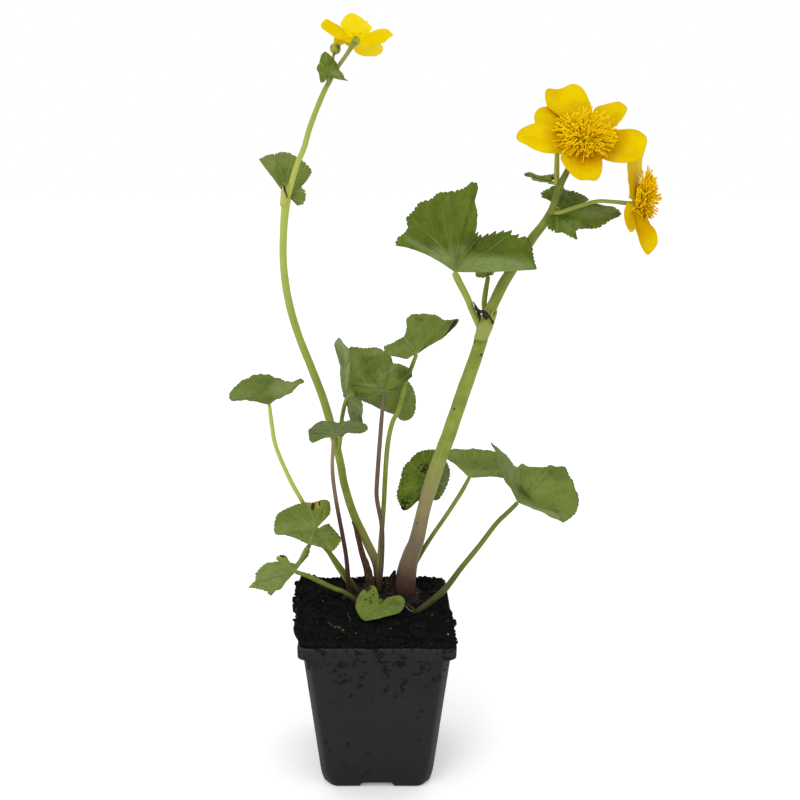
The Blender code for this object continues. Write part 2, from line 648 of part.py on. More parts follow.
def crown_mesh(name, swell):
    """The lumpy rootstock: a flattened ball with knobs where the stems leave it."""
    bm = bmesh.new()
    bmesh.ops.create_uvsphere(bm, u_segments=16, v_segments=10, radius=1.0)
    for vert in bm.verts:
        lump = 1.0 + 0.10 * noise.noise(vert.co * 2.6 + Vector((4.0, 1.0, 2.0)))
        vert.co = Vector(CROWN_CENTRE) + Vector(
            [axis * (reach * lump + swell) for axis, reach in zip(vert.co, CROWN_REACH)])
    return mesh_from(bm, name)


def make_crown():
    """The rootstock, and the larger copy that keeps the soil and the stems off it."""
    add_object("crown", crown_mesh("crown", 0.0), "crown")
    add_object("crown_clearance", crown_mesh("crown_clearance", GAP * 1.5))
    add_object("soil_clearance", heap_mesh("soil_clearance", CLEARANCE_BOTTOM, GAP * 1.2))


def set_on(piece, feet):
    """Cut a piece back where it stands on the ground or on a stem."""
    for foot in feet:
        names = ("crown", "soil") if foot == "ground" else (foot,)
        for name in names:
            boolean(piece, bpy.data.objects[name + "_clearance"], "DIFFERENCE")


def make_stem(name, route, feet=(), finish="stem"):
    """A stem along its route, cut back where it stands, with its own clearance copy."""
    stem = add_object(name, tube_mesh(name, route, ROUND_TUBE), finish)
    set_on(stem, feet)
    longer = [beyond(route[::-1], GAP), *route, beyond(route, GAP)]
    swollen = tube_mesh(name + "_clearance", longer, ROUND_TUBE, swell=GAP * 1.2)
    add_object(name + "_clearance", swollen)


def make_stems():
    """The two flowering stems with their forks, and two dead stubs between them."""
    make_stem("left_stem", LEFT_STEM, ("ground",))
    make_stem("left_upper_stem", [*continued(LEFT_STEM, 1.6), *LEFT_UPPER_STEM])
    make_stem("right_stem", RIGHT_STEM, ("ground",))
    make_stem("right_upper_stem", [*continued(RIGHT_STEM, 3.3), *RIGHT_UPPER_STEM])
    make_stem("dead_stub", DEAD_STUB, ("ground",), "dead")
    make_stem("old_sheath", OLD_SHEATH, ("ground",), "dead")
    make_stem("facing_flower_stalk", [
        *continued(RIGHT_UPPER_STEM, 1.6), *FACING_FLOWER_STALK,
        *behind_flower("facing_flower", 1.4)])
    make_stem("side_flower_stalk", [
        *SIDE_FLOWER_STALK, *behind_flower("side_flower", 1.1)], ("right_upper_stem",))
    make_stem("left_flower_stalk", [
        *continued(LEFT_UPPER_STEM, 1.2), *LEFT_FLOWER_STALK, *behind_flower("left_flower", 1.4)])


def behind_flower(name, radius):
    """The last two points of a flower's stalk, in line with its neck and a gap behind it."""
    flower = FLOWERS[name]
    joint = Vector(flower["joint"])
    facing = Vector(flower["faces"]).normalized()
    ends = [joint - facing * (NECK_BACK + GAP + more) for more in (JOINT, 0.0)]
    return [(*end, radius) for end in ends]


def make_bud(name, stalk, radii, feet):
    """A closed bud fused to its short stalk."""
    bm = bmesh.new()
    bmesh.ops.create_uvsphere(bm, u_segments=10, v_segments=7, radius=1.0)
    tip = Vector(stalk[-1][:3])
    onward = (tip - Vector(stalk[-2][:3])).normalized()
    turn = Vector((0.0, 0.0, 1.0)).rotation_difference(onward)
    for vert in bm.verts:
        reach = Vector((vert.co.x * radii[0], vert.co.y * radii[0], vert.co.z * radii[1]))
        vert.co = tip + turn @ reach + onward * radii[1] * 0.8
    bud = add_object(name, mesh_from(bm, name), "stem")
    carrier = add_object(name + "_stalk", tube_mesh(name + "_stalk", stalk, SLIM_TUBE))
    boolean(bud, carrier, "UNION")
    set_on(bud, feet)


def even_rim(rim, closed, count):
    """Points spread evenly along the smooth line through a rim."""
    points = [Vector(point) for point in rim]
    if closed:
        points.append(points[0])
    line = through(points, 4)
    lengths = [0.0]
    for near, far in zip(line, line[1:]):
        lengths.append(lengths[-1] + (far - near).length)
    spread = []
    place = 0
    for number in range(count + 1):
        wanted = lengths[-1] * number / count
        while place < len(line) - 2 and lengths[place + 1] < wanted:
            place += 1
        part = (wanted - lengths[place]) / max(1e-9, lengths[place + 1] - lengths[place])
        spread.append(line[place].lerp(line[place + 1], min(1.0, part)))
    return spread


def sheet(name, root, rim, closed, rays, rings, thickness, finish):
    """A thin blade: a fan from its root to its rim, given a thickness."""
    ends = even_rim(rim, closed, rays)
    bm = bmesh.new()
    bmesh.ops.create_grid(bm, x_segments=rays, y_segments=rings, size=0.5)
    for vert in bm.verts:
        ray = round((vert.co.x + 0.5) * rays)
        share = vert.co.y + 0.5
        vert.co = Vector(root) + ends[ray] * share
    bmesh.ops.remove_doubles(bm, verts=bm.verts, dist=0.01)
    blade = add_object(name, mesh_from(bm, name), finish)
    wall = blade.modifiers.new("Thickness", "SOLIDIFY")
    wall.thickness = thickness * MM
    wall.offset = 0.0
    wall.thickness_clamp = 1.0
    return blade


def make_leaf(name, leaf):
    """A leaf: its blade fused to its stalk, which is cut back where it stands."""
    root = leaf["stalk"][-1][:3]
    blade = sheet(
        name, root, leaf["rim"], leaf.get("closed", False), BLADE_RAYS, BLADE_RINGS,
        BLADE_THICK, "leaf")
    stalk = add_object(name + "_stalk", tube_mesh(name + "_stalk", leaf["stalk"], SLIM_TUBE))
    boolean(blade, stalk, "UNION")
    set_on(blade, leaf["foot"])


def tuft_mesh(name, centre, facing, radii):
    """A low dome of pointed stamens on a shallow cone."""
    bm = bmesh.new()
    bmesh.ops.create_icosphere(bm, subdivisions=2, radius=1.0)
    bmesh.ops.poke(bm, faces=bm.faces)
    turn = Vector((0.0, 0.0, 1.0)).rotation_difference(facing)
    for vert in bm.verts:
        way = vert.co.normalized()
        spike = SPIKE if len(vert.link_edges) == 3 else 0.0
        place = Vector([axis * (reach + spike) for axis, reach in zip(way, radii)])
        if way.z < 0.0:
            place.z = -TUFT_BACK * (1.0 - math.hypot(way.x, way.y))
        vert.co = centre + turn @ place
    return mesh_from(bm, name, smooth=False)


def make_flower(name, flower):
    """Separate petals round a neck that carries the tuft of stamens."""
    joint = Vector(flower["joint"])
    facing = Vector(flower["faces"]).normalized()
    for number, (root, rim) in enumerate(flower["petals"]):
        start = Vector(root)
        sheet(
            name + "_petal_" + str(number + 1), joint + start,
            [Vector(point) - start for point in rim], False, PETAL_RAYS, PETAL_RINGS,
            PETAL_THICK, "petal")
    centre = joint + facing * TUFT_LIFT
    tuft = add_object(
        name + "_stamens", tuft_mesh(name + "_stamens", centre, facing, flower["tuft"]), "tuft")
    neck_route = [(*(joint - facing * NECK_BACK), NECK_RADIUS), (*centre, NECK_RADIUS)]
    neck = add_object(name + "_neck", tube_mesh(name + "_neck", neck_route, ROUND_TUBE))
    boolean(tuft, neck, "UNION")


def main():
    """Build the plant and its pot."""
    clear_scene()
    anchor = bpy.data.objects.new("marsh_marigold", None)
    bpy.context.collection.objects.link(anchor)
    anchor.location = (POT_PLACE[0] * MM, POT_PLACE[1] * MM, 0.0)
    make_crown()
    make_pot()
    make_soil()
    make_stems()
    make_bud("left_bud", LEFT_BUD_STALK, LEFT_BUD, ("left_upper_stem", "left_flower_stalk"))
    make_bud("right_bud", RIGHT_BUD_STALK, RIGHT_BUD, ("right_upper_stem", "facing_flower_stalk"))
    for name, leaf in LEAVES.items():
        make_leaf(name, leaf)
    for name, flower in FLOWERS.items():
        make_flower(name, flower)


main()
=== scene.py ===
"""Looks of a marsh marigold growing in a square nursery pot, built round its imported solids.

Places are in millimetres from the middle of the pot's base, as the plant was measured:
+X to the right, +Y to the back, +Z up.  settle() brings each finished piece into the frame.
"""
import math
import random
from bisect import bisect_right

import bmesh
import bpy
from mathutils import Matrix, Vector, noise


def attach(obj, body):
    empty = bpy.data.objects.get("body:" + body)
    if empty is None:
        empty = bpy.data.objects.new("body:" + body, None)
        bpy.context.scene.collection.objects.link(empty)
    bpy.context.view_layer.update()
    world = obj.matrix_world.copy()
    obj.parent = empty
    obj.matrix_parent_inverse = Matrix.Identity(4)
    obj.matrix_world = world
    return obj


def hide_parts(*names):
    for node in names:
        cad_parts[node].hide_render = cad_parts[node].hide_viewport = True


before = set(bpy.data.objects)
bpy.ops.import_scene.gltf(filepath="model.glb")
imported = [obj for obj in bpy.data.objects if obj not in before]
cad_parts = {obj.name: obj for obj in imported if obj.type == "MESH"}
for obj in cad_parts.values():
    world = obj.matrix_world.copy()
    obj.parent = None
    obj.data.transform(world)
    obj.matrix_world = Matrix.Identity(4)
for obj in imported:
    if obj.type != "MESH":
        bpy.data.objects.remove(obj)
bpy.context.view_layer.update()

MM = 0.001
POT_PLACE = Vector((-22.0, 8.2, 0.0))
UP = Vector((0.0, 0.0, 1.0))

# Camera
LENS = 38.34
SENSOR = 36.0
SHIFT = 0.02875
CAMERA_PLACE = Vector((0.0, -476.0, 354.0))
LOOK_DOWN = 14.2

# Pot
POT_HEIGHT = 100.0
RIM_WIDTH = 90.8
RIM_CORNER = 4.5
LIP_HEIGHT = 7.0
LIP_STEP = 1.3
NECK_WIDTH = 85.4
BASE_WIDTH = 66.8
WALL_CORNER = 7.0
WALL = 1.3
FLOOR_UNDER = 3.5
FLOOR_TOP = 5.2
FOOT_WALL = 3.2
NOTCH_HALF = 9.0
DRAIN_RADIUS = 4.0
DRAIN_REACH = 17.0

# Compost
SOIL_LEVEL = 99.3
SOIL_SPILL = [
    (-44, -1.0), (-36, 0.5), (-21, 5.0), (-4, 5.3), (7, 9.0), (20, 8.0), (38, 8.8), (44, 7.0)]
CROWN_CENTRE = Vector((4.0, 20.5, 96.6))
CROWN_REACH = (29.0, 20.5, 5.5)

# Stems: x, y, z, radius of each point, then how purple the foot and the top are.
STEMS = {
    "left_stem": {
        "route": [
            (1, 31, 95, 2.9), (0, 32, 115, 2.9), (-8, 33, 134, 2.7), (-15, 34, 150, 2.6),
            (-20.5, 34, 169, 2.5), (-23.5, 35, 186, 2.5), (-29.5, 35, 212, 2.6),
            (-34.2, 36, 228, 2.5), (-40.7, 36, 246, 2.4), (-48.2, 37, 266, 2.3), (-53.5, 38, 286, 2.3),
            (-56, 39, 307, 2.2), (-55.5, 40, 328, 2.2), (-53.5, 41, 346, 2.6)],
        "blush": [(0.0, 0.95), (0.05, 0.7), (0.1, 0.32), (0.15, 0.1), (0.2, 0.0)],
        "climb": [
            (0.0, -0.2), (0.2, -0.1), (0.35, 0.0), (0.5, 0.3), (0.7, 0.4), (0.82, 0.57), (1.0, 0.75)]},
    "left_upper_stem": {
        "route": [
            (-54.0, 41, 343.5, 2.3), (-52.6, 41, 348, 1.9), (-50.5, 41, 354, 1.7),
            (-47, 42, 365, 1.6), (-42.5, 42, 375, 1.65), (-38.7, 43, 387, 1.6),
            (-31.5, 44, 404, 1.5), (-26, 45, 414, 1.4)],
        "blush": [(0.0, 0.0)], "climb": [(0.0, 0.8), (0.4, 0.7), (0.75, 0.45), (1.0, 0.35)]},
    "left_flower_stalk": {
        "route": [
            (-27, 44.8, 412.5, 1.35), (-22, 45, 420, 1.2), (-18, 44, 425, 1.2), (-15, 43, 429, 1.3),
            (-12.1, 41.3, 431.9, 1.4)],
        "blush": [(0.0, 0.1)], "tone": 0.3},
    "right_stem": {
        "route": [
            (16.6, 25, 94, 7.4), (20, 22, 121, 5.8), (25, 18, 140, 4.7), (29, 13, 163, 4.1),
            (33, 8, 181, 4.5), (37.3, 3, 198, 4.2), (42.3, -3, 216, 4.1), (47.3, -9, 236, 4.0),
            (52, -14, 254, 3.8), (56, -18, 269, 3.6), (58, -22, 283, 3.9)],
        "blush": [
            (0.0, 1.0), (0.08, 0.85), (0.16, 0.58), (0.24, 0.44), (0.34, 0.34), (0.44, 0.2),
            (0.54, 0.08), (0.62, 0.0)],
        "climb": [(0.0, 0.1), (0.3, 0.2), (0.45, 0.28), (0.6, 0.18), (0.8, 0.1), (1.0, 0.1)],
        "scars": [(53.0, 271.8, 3.4, 0.7, 55), (56.8, 264.0, 1.0, 1.2, 0), (24.5, 152.0, 0.9, 0.7, 0),
                  (43.5, 231.0, 0.7, 0.5, 0), (21.0, 147.0, 0.7, 0.6, 0)]},
    "right_upper_stem": {
        "route": [
            (56.6, -21, 279.5, 3.4), (59.5, -22, 286, 3.2), (62.6, -22, 293, 2.9),
            (66.6, -22, 302, 2.9), (70.5, -23, 309, 2.8), (80, -27, 326, 2.5),
            (84.6, -33, 334, 2.2), (87.6, -38, 341, 2.0), (88.6, -42, 347, 1.9),
            (90, -46, 355, 1.8)],
        "blush": [(0.0, 0.0)],
        "climb": [(0.0, 0.1), (0.15, -0.25), (0.6, -0.35), (0.85, -0.5), (1.0, -0.6)]},
    # The facing flower's stalk: its dark green tone is painted shadow from its flower.
    "facing_flower_stalk": {
        "route": [
            (89.2, -44.4, 352.4, 1.75), (92, -49, 360, 1.5), (94, -51, 365, 1.4),
            (97, -52, 370, 1.3), (98, -55.2, 374.6, 1.4)],
        "blush": [(0.0, 0.0)], "tone": -0.65},
    "side_flower_stalk": {
        "route": [
            (88.8, -38.6, 340.4, 1.1), (91.6, -42.2, 340.6, 1.05), (96.4, -49.4, 343, 1.0),
            (105, -55, 346, 0.95), (112, -57, 346, 0.95), (118.6, -59, 345.4, 1.05),
            (120.9, -59.6, 345.1, 1.15)],
        "blush": [(0.0, 0.0)], "tone": 0.3},
}

# Leaves: the stalk as the stems; the blade's rim as offsets from the top of the stalk, in
# order round the blade; bulge, how far its middle stands off the flat fan; tone and marks,
# its colouring, where a mark is a kind, a place as offset, a reach and a strength.
LEAVES = {
    "high_leaf": {
        "stalk": [
            (57, -22, 276, 1.8), (53.2, -23, 284, 1.8), (50.2, -25, 290, 1.7),
            (47.6, -27, 296, 1.8), (43.4, -29, 303.6, 1.8), (41.2, -30.8, 307.8, 1.8), (40, -31, 310, 1.3)],
        "rim": [
            (41.3, -9, 1.9), (40.1, -7, 7.1), (39.3, -5, 12.7), (36.5, -4, 18), (32.5, -3, 19.8),
            (28.5, -2, 21.5), (24.5, -1, 20.9), (20.6, 0, 20.9), (16.1, 1, 19.8), (13.4, 0, 19.3),
            (12.5, 4, 20.6), (12, 7, 25.1), (12.4, 9, 29.6), (11.4, 12, 34.5), (11.2, 14, 38.4),
            (13, 16, 41.9), (12.6, 18, 45.2), (10.1, 18, 45.6), (5.4, 17, 42), (-0.3, 16, 40.2),
            (-7.8, 15, 39.3), (-12, 14, 36.2), (-17.2, 12, 34.8), (-21.9, 10, 30), (-24.8, 8.5, 27.3),
            (-24.2, 7, 22.3), (-26, 6, 19.5), (-28.9, 5, 17.4), (-30.9, 4, 13.4)],
        "tone": -0.35, "stalk_tone": 0.35},
    "collar_leaf": {
        "stalk": [(87, -39, 341, 1.2), (90, -37, 341, 1.2), (92, -36, 342, 1.2)],
        "rim": [
            (-7, -3, -6), (-6, -4, -9), (1, -6, -11), (3, -7, -13), (5, -8, -14),
            (8, -9, -14), (8, -7, -10), (17, -8, -9.5), (25, -6, -5), (31, -2, -2), (28, 1, 1),
            (19, 2, 2), (13, 2, 3), (16, 6, 4), (10, 8, 8), (5, 8, 10), (2, 7, 12), (-2, 6, 11),
            (-6, 5, 9), (-9, 4, 8), (-9, 3, 6)],
        "tone": -0.1},
    "narrow_leaf": {
        "stalk": [(91, -42, 351, 1.1), (88.6, -40.5, 354.4, 0.9), (85, -39, 355, 0.8)],
        "rim": [
            (-1.2, -1, -0.1), (-3, -2, 0.4), (-7, -3, 1.6), (-9.5, -4, 2.7), (-12.5, -5, 3),
            (-13.2, -5, 4), (-10.6, -4, 4.7), (-8, -3, 4.3), (-3.9, -1, 3.2), (0.3, 1, 3.4),
            (3.1, 2, 3.5), (4.6, 3, 2.1)],
        "tone": 0.0},
    "left_node_leaf": {
        "stalk": [(-54, 41, 343, 1.5), (-55, 44, 345, 1.4), (-55, 48, 348, 1.3)],
        "rim": [
            (8, -5, -6), (12, -6, -5), (13, -5, 1), (11, -3, 4), (10, -1, 5), (14, 3, 10),
            (16, 4, 14), (13, 5, 18), (7, 7, 22), (-1, 8, 24), (-10, 5, 23), (-15, 1, 20)],
        "tone": 0.8},
    "bract_leaf": {
        "stalk": [(-28, 44, 410, 1.0), (-28, 41, 412, 1.0), (-28, 39, 414, 1.0)],
        "rim": [
            (-0.7, -1, -1.4), (-2.4, -1, -3.5), (-4.1, -2, -3.4), (-4.8, -1, 0.7), (-6.2, 1, 4.7),
            (-4.7, 2, 7.8), (-3.8, 3, 10.8), (-1.6, 3, 13), (0.7, 3, 11.4), (4.6, 3, 7.6),
            (5.9, 2, 4.8), (8.6, 1, 1), (9.8, -1, -1.2), (11.7, -2, -2.1), (7.6, -1, -1.6), (3, 0, -0.5)],
        "tone": 0.1},
    "left_cup_leaf": {
        "stalk": [
            (-13, 32, 95, 1.7), (-23, 32, 110, 1.6), (-32, 31, 127, 1.5), (-47, 29, 160, 1.4),
            (-54, 27, 175, 1.4), (-62, 25, 197, 1.3), (-64, 23, 212, 1.3), (-65, 22, 225, 1.2)],
        "rim": [
            (-4, -3, 1), (-11, -6, 4), (-22, -4, 4), (-24, 2, 7), (-19, 14, 11), (-12, 20, 14),
            (-3, 24, 13), (3, 20, 11), (12, 12, 11), (21, 4, 15), (16, 2, 10), (12, -2, 6),
            (5, -3, 2)],
        "tone": 0.4, "stalk_tone": 1.0},
    "edge_on_leaf": {
        "stalk": [
            (-17.5, 19, 98, 1.6), (-19, 18, 124, 1.4), (-21, 17, 140, 1.35), (-25, 15, 166, 1.25),
            (-27, 14, 186, 1.2), (-26, 10, 208, 1.1)],
        "rim": [
            (4.5, 2, -0.9), (9.3, 2, 1.6), (15.9, 0, 3.1), (20.1, -2, 4.3), (20.4, -4, 7.7),
            (17.2, -7, 10.9), (9.8, -11, 13.3), (5.3, -13, 14.1), (0.2, -15, 13.8), (-5.6, -15, 12.6),
            (-10.4, -13, 10.8), (-13.7, -11, 9.1), (-14, -7, 3), (-13.6, -4, -1.3), (-11.3, -3, -1.9),
            (-7.9, -1, -0.6), (-4.3, 0, -0.2)],
        "tone": 0.4, "blush": [(0.0, 1.0), (0.5, 0.9), (0.7, 0.55), (0.85, 0.3), (1.0, 0.2)]},
    "centre_leaf": {
        "stalk": [
            (1, 19, 103, 1.6), (3, 19, 125, 1.5), (3, 18, 148, 1.45), (0, 17, 166, 1.35),
            (0, 17, 178, 1.35), (2, 15, 208, 1.3), (4, 14, 235, 1.1)],
        "rim": [
            (11.7, -5, 8), (16.6, -6, 10.3), (15.7, -7, 14.6), (12.7, -7, 17), (8.8, -5.5, 18.2),
            (5.1, -2, 18.4), (3.9, 4, 21.1), (-0.4, 8, 23.6), (-4.8, 10, 25.1), (-10.5, 10, 24.5),
            (-16.1, 9, 25.1), (-20, 8, 25.3), (-21.4, 5, 21.7), (-22.6, 1, 14.6), (-23.8, 0, 6.8),
            (-22.9, 0.5, 1.3), (-20.3, 2, -2.7), (-17.2, 3, -4.5), (-10.5, 5, -7.7), (-4.8, 7, -11.1),
            (0.8, 9, -14.3), (5.5, 10, -16.3), (8.4, 11, -18.5), (11.6, 12, -21.2), (16.2, 13.5, -20.6),
            (19.2, 14, -15.9), (19.8, 15, -8.2), (18, 13, -1.1), (15.6, 12, 3), (14.1, 12, 5.3), (12.6, 11.5, 8.4)],
        "tone": 0.55, "blush": [(0.0, 0.8), (0.5, 0.74), (0.8, 0.68), (1.0, 0.6)]},
    "strip_leaf": {
        "stalk": [
            (-24.5, 34.5, 189, 1.3), (-22.5, 28, 203, 1.3), (-21.5, 21, 215, 1.3),
            (-19.5, 13, 226, 1.3), (-17.4, 6, 234.4, 1.2)],
        "rim": [
            (1.6, -1, 6.9), (4.1, -1.6, 2.9), (5.2, -2, -0.2), (7.5, -2, -2.7), (8.8, -2, -7.2), (8.6, 0, -13.5), (9.3, 1, -18.4),
            (7.3, 1, -19.3), (5.4, 2, -18.7), (2.6, 2, -17), (1.1, 3, -13.1), (-0.7, 3, -7.4),
            (-1.4, 2, -1.5), (-2.7, 0, 4.7), (-3.8, -3, 14.4), (-3.6, -5, 22.5), (-5.9, -7, 28.4),
            (-7, -7, 31.5), (-4.5, -7, 35.1), (-1.4, -7, 32.2), (1.8, -6, 28.7), (1.7, -5, 22.5),
            (-0.8, -3, 17.7), (-1.7, -1, 10.6)],
        "tone": 1.0, "stalk_tone": 0.2},
    "tall_leaf": {
        "stalk": [
            (1, 26, 99, 1.7), (2, 25, 129, 1.6), (4, 24, 156, 1.5), (6, 19, 196, 1.5),
            (9, 16, 215, 1.4), (13, 15, 224, 1.4), (17, 15, 241, 1.3), (20, 14, 249, 1.3),
            (23, 12, 258, 1.2)],
        "rim": [
            (-5, -2, -2), (-12, -3, -1), (-17, -3, 0), (-19, -2, 5), (-12, 2, 7), (-7, 6, 10),
            (-5.5, 10, 15), (-5, 13, 20), (2, 14, 21.5), (8, 14, 21), (13, 13, 21), (17, 11, 18),
            (25, 12, 19), (23, 8, 15), (15, 4, 8)],
        "tone": 0.55, "stalk_tone": 0.1},
    "spotted_leaf": {
        "stalk": [
            (16, 39, 97, 1.5), (18, 36, 114, 1.4), (24, 31, 133, 1.3), (29, 24, 158, 1.2),
            (33, 18, 177, 1.2)],
        "rim": [
            (3, 3, -13), (-7, 2, -13), (-13, 1, -18), (-17, 1, -19), (-19, 1, -15),
            (-21, 2, -9), (-19, 3, 0), (-17, 4, 8), (-13, 5, 13), (-9, 5, 17), (-3, 5, 19),
            (4, 4, 19), (10, 3, 12), (12, 2, 4), (9, 2, -6), (6, 2, -11)],
        "closed": True, "tone": -0.6, "stalk_tone": -0.2},
    "right_inner_leaf": {
        "stalk": [
            (22, 34, 98, 1.6), (23, 31, 112, 1.5), (28, 26, 126, 1.4), (34, 20, 140, 1.4),
            (42, 14, 156, 1.3), (51, 9, 174, 1.3), (55, 6, 184, 1.2)],
        "rim": [
            (-13, 10, 9), (-10, 14, 13), (-1, 18, 12), (8, 18, 12), (17, 16, 11), (19, 13, 6),
            (21, 9, 1), (22, 5, -2)],
        "tone": 0.6, "stalk_tone": -0.3},
    "right_outer_leaf": {
        "stalk": [
            (20, 1, 95, 1.8), (26, -1, 101, 1.8), (32, -1, 106, 1.85), (41, -1, 114.4, 1.9),
            (51, -1, 129, 1.6), (61.6, 0, 143, 1.5), (71.6, 1, 157, 1.4), (79.6, 2, 165, 1.35),
            (84, 2, 170, 1.4)],
        "rim": [
            (-8.3, -4, 14.7), (-12.2, -6, 23.2), (-15, -7, 30.5), (-16.4, -7.5, 35.5),
            (-17.6, -8, 40.3), (-13.1, -6.5, 35.2), (-8.1, -4, 30.7), (-4.2, -1, 25.1), (-1.1, 3, 21),
            (1.3, 7, 21.3), (4.2, 10, 20.9), (9.4, 13, 18.5), (18.3, 16.5, 16.4), (21.8, 17, 17.8),
            (25.2, 16.5, 16.7), (31.1, 15, 17.8), (33, 13, 13.1), (36, 9, 6.5), (37.4, 4, -1.9),
            (35.1, 1, -7.2), (31.1, -1.5, -9.9), (27.1, -3.5, -11.3), (24.3, -4.5, -7.5),
            (17.7, -5.5, -2.6), (8.3, -5, 0)],
        "tone": 0.6, "stalk_tone": -0.6, "foot": 0.5},
    "low_left_leaf": {
        "stalk": [
            (-10, 24, 97, 1.6), (-19.6, 24, 112, 1.6), (-29.4, 23, 127, 1.55), (-35.6, 20, 137, 1.5),
            (-39, 16, 145, 1.5)],
        "rim": [
            (10, 3, 11), (10, 5, 17), (7, 6, 19), (-1, 7, 17), (-9, 8, 16), (-20, 6, 12),
            (-24, 2, 8), (-24, -4, 1), (-17, -5, 0), (-10, -6, -2), (-2, -8, -5), (7, -9, -7),
            (12, -8, -9), (17, -3, -4), (15, 0, -1), (9, 2, 5)],
        "tone": 0.55, "stalk_tone": -0.35, "foot": 0.4},
    "lowest_left_leaf": {
        "stalk": [
            (-10, 12, 98, 1.5), (-20, 10, 107, 1.45), (-28, 9, 111, 1.45), (-42, 6, 120, 1.4),
            (-50, 4, 124, 1.4)],
        "rim": [
            (7.6, 7, 7.3), (9.4, 8, 14.5), (6.5, 8, 13.6), (3.6, 7, 9.5), (0.2, 5, 4), (-3.1, 5, 3.7),
            (-5.5, 5, 5.2), (-5.8, 5.5, 7.4), (-8.7, 5.5, 8.9), (-12.2, 5, 7.7), (-12.2, 4, 5),
            (-18, 3, 3.9), (-20.8, 2, 2.3), (-24.5, 0, -1.4), (-24.7, -3, -4.7), (-28, -7, -6.8),
            (-23.9, -7.5, -7.6), (-17.6, -9, -8.5), (-14.2, -10, -11), (-12.9, -9, -8.6),
            (-8.8, -8, -7.7), (-6.3, -5, -3.3)],
        "tone": 1.0, "stalk_tone": -0.4, "foot": 0.4},
    "soil_leaf": {
        "stalk": [(3, 14, 99, 1.2), (2, 3, 105, 1.1), (1, -4.6, 105.6, 0.8), (1, -6, 106, 0.4)],
        "rim": [
            (0, 3, 6), (-2, 6, 10), (-5, 6, 11), (-8, 5, 10), (-12, 2, 7), (-14, -3, 2),
            (-11, -8, -3), (-7, -11, -4), (3, -9, -3), (12, -6, -1), (16, -2, 3), (14, 1, 6),
            (10, 2, 6), (6, 2, 5)],
        "tone": 0.45, "teeth": 0.1},
    "shoot_leaf": {
        "stalk": [
            (59, -21, 285, 1.6), (57.8, -18, 291, 1.5), (58.7, -16, 299, 1.4), (60, -14, 306, 1.3)],
        "rim": [
            (-3, -2, -1), (-7, -1, 0), (-7, 0, 4), (-4, 2, 8), (-1, 3, 11), (3, 2, 8), (4, 0, 4),
            (2, -1, 0)],
        "tone": 0.5},
}
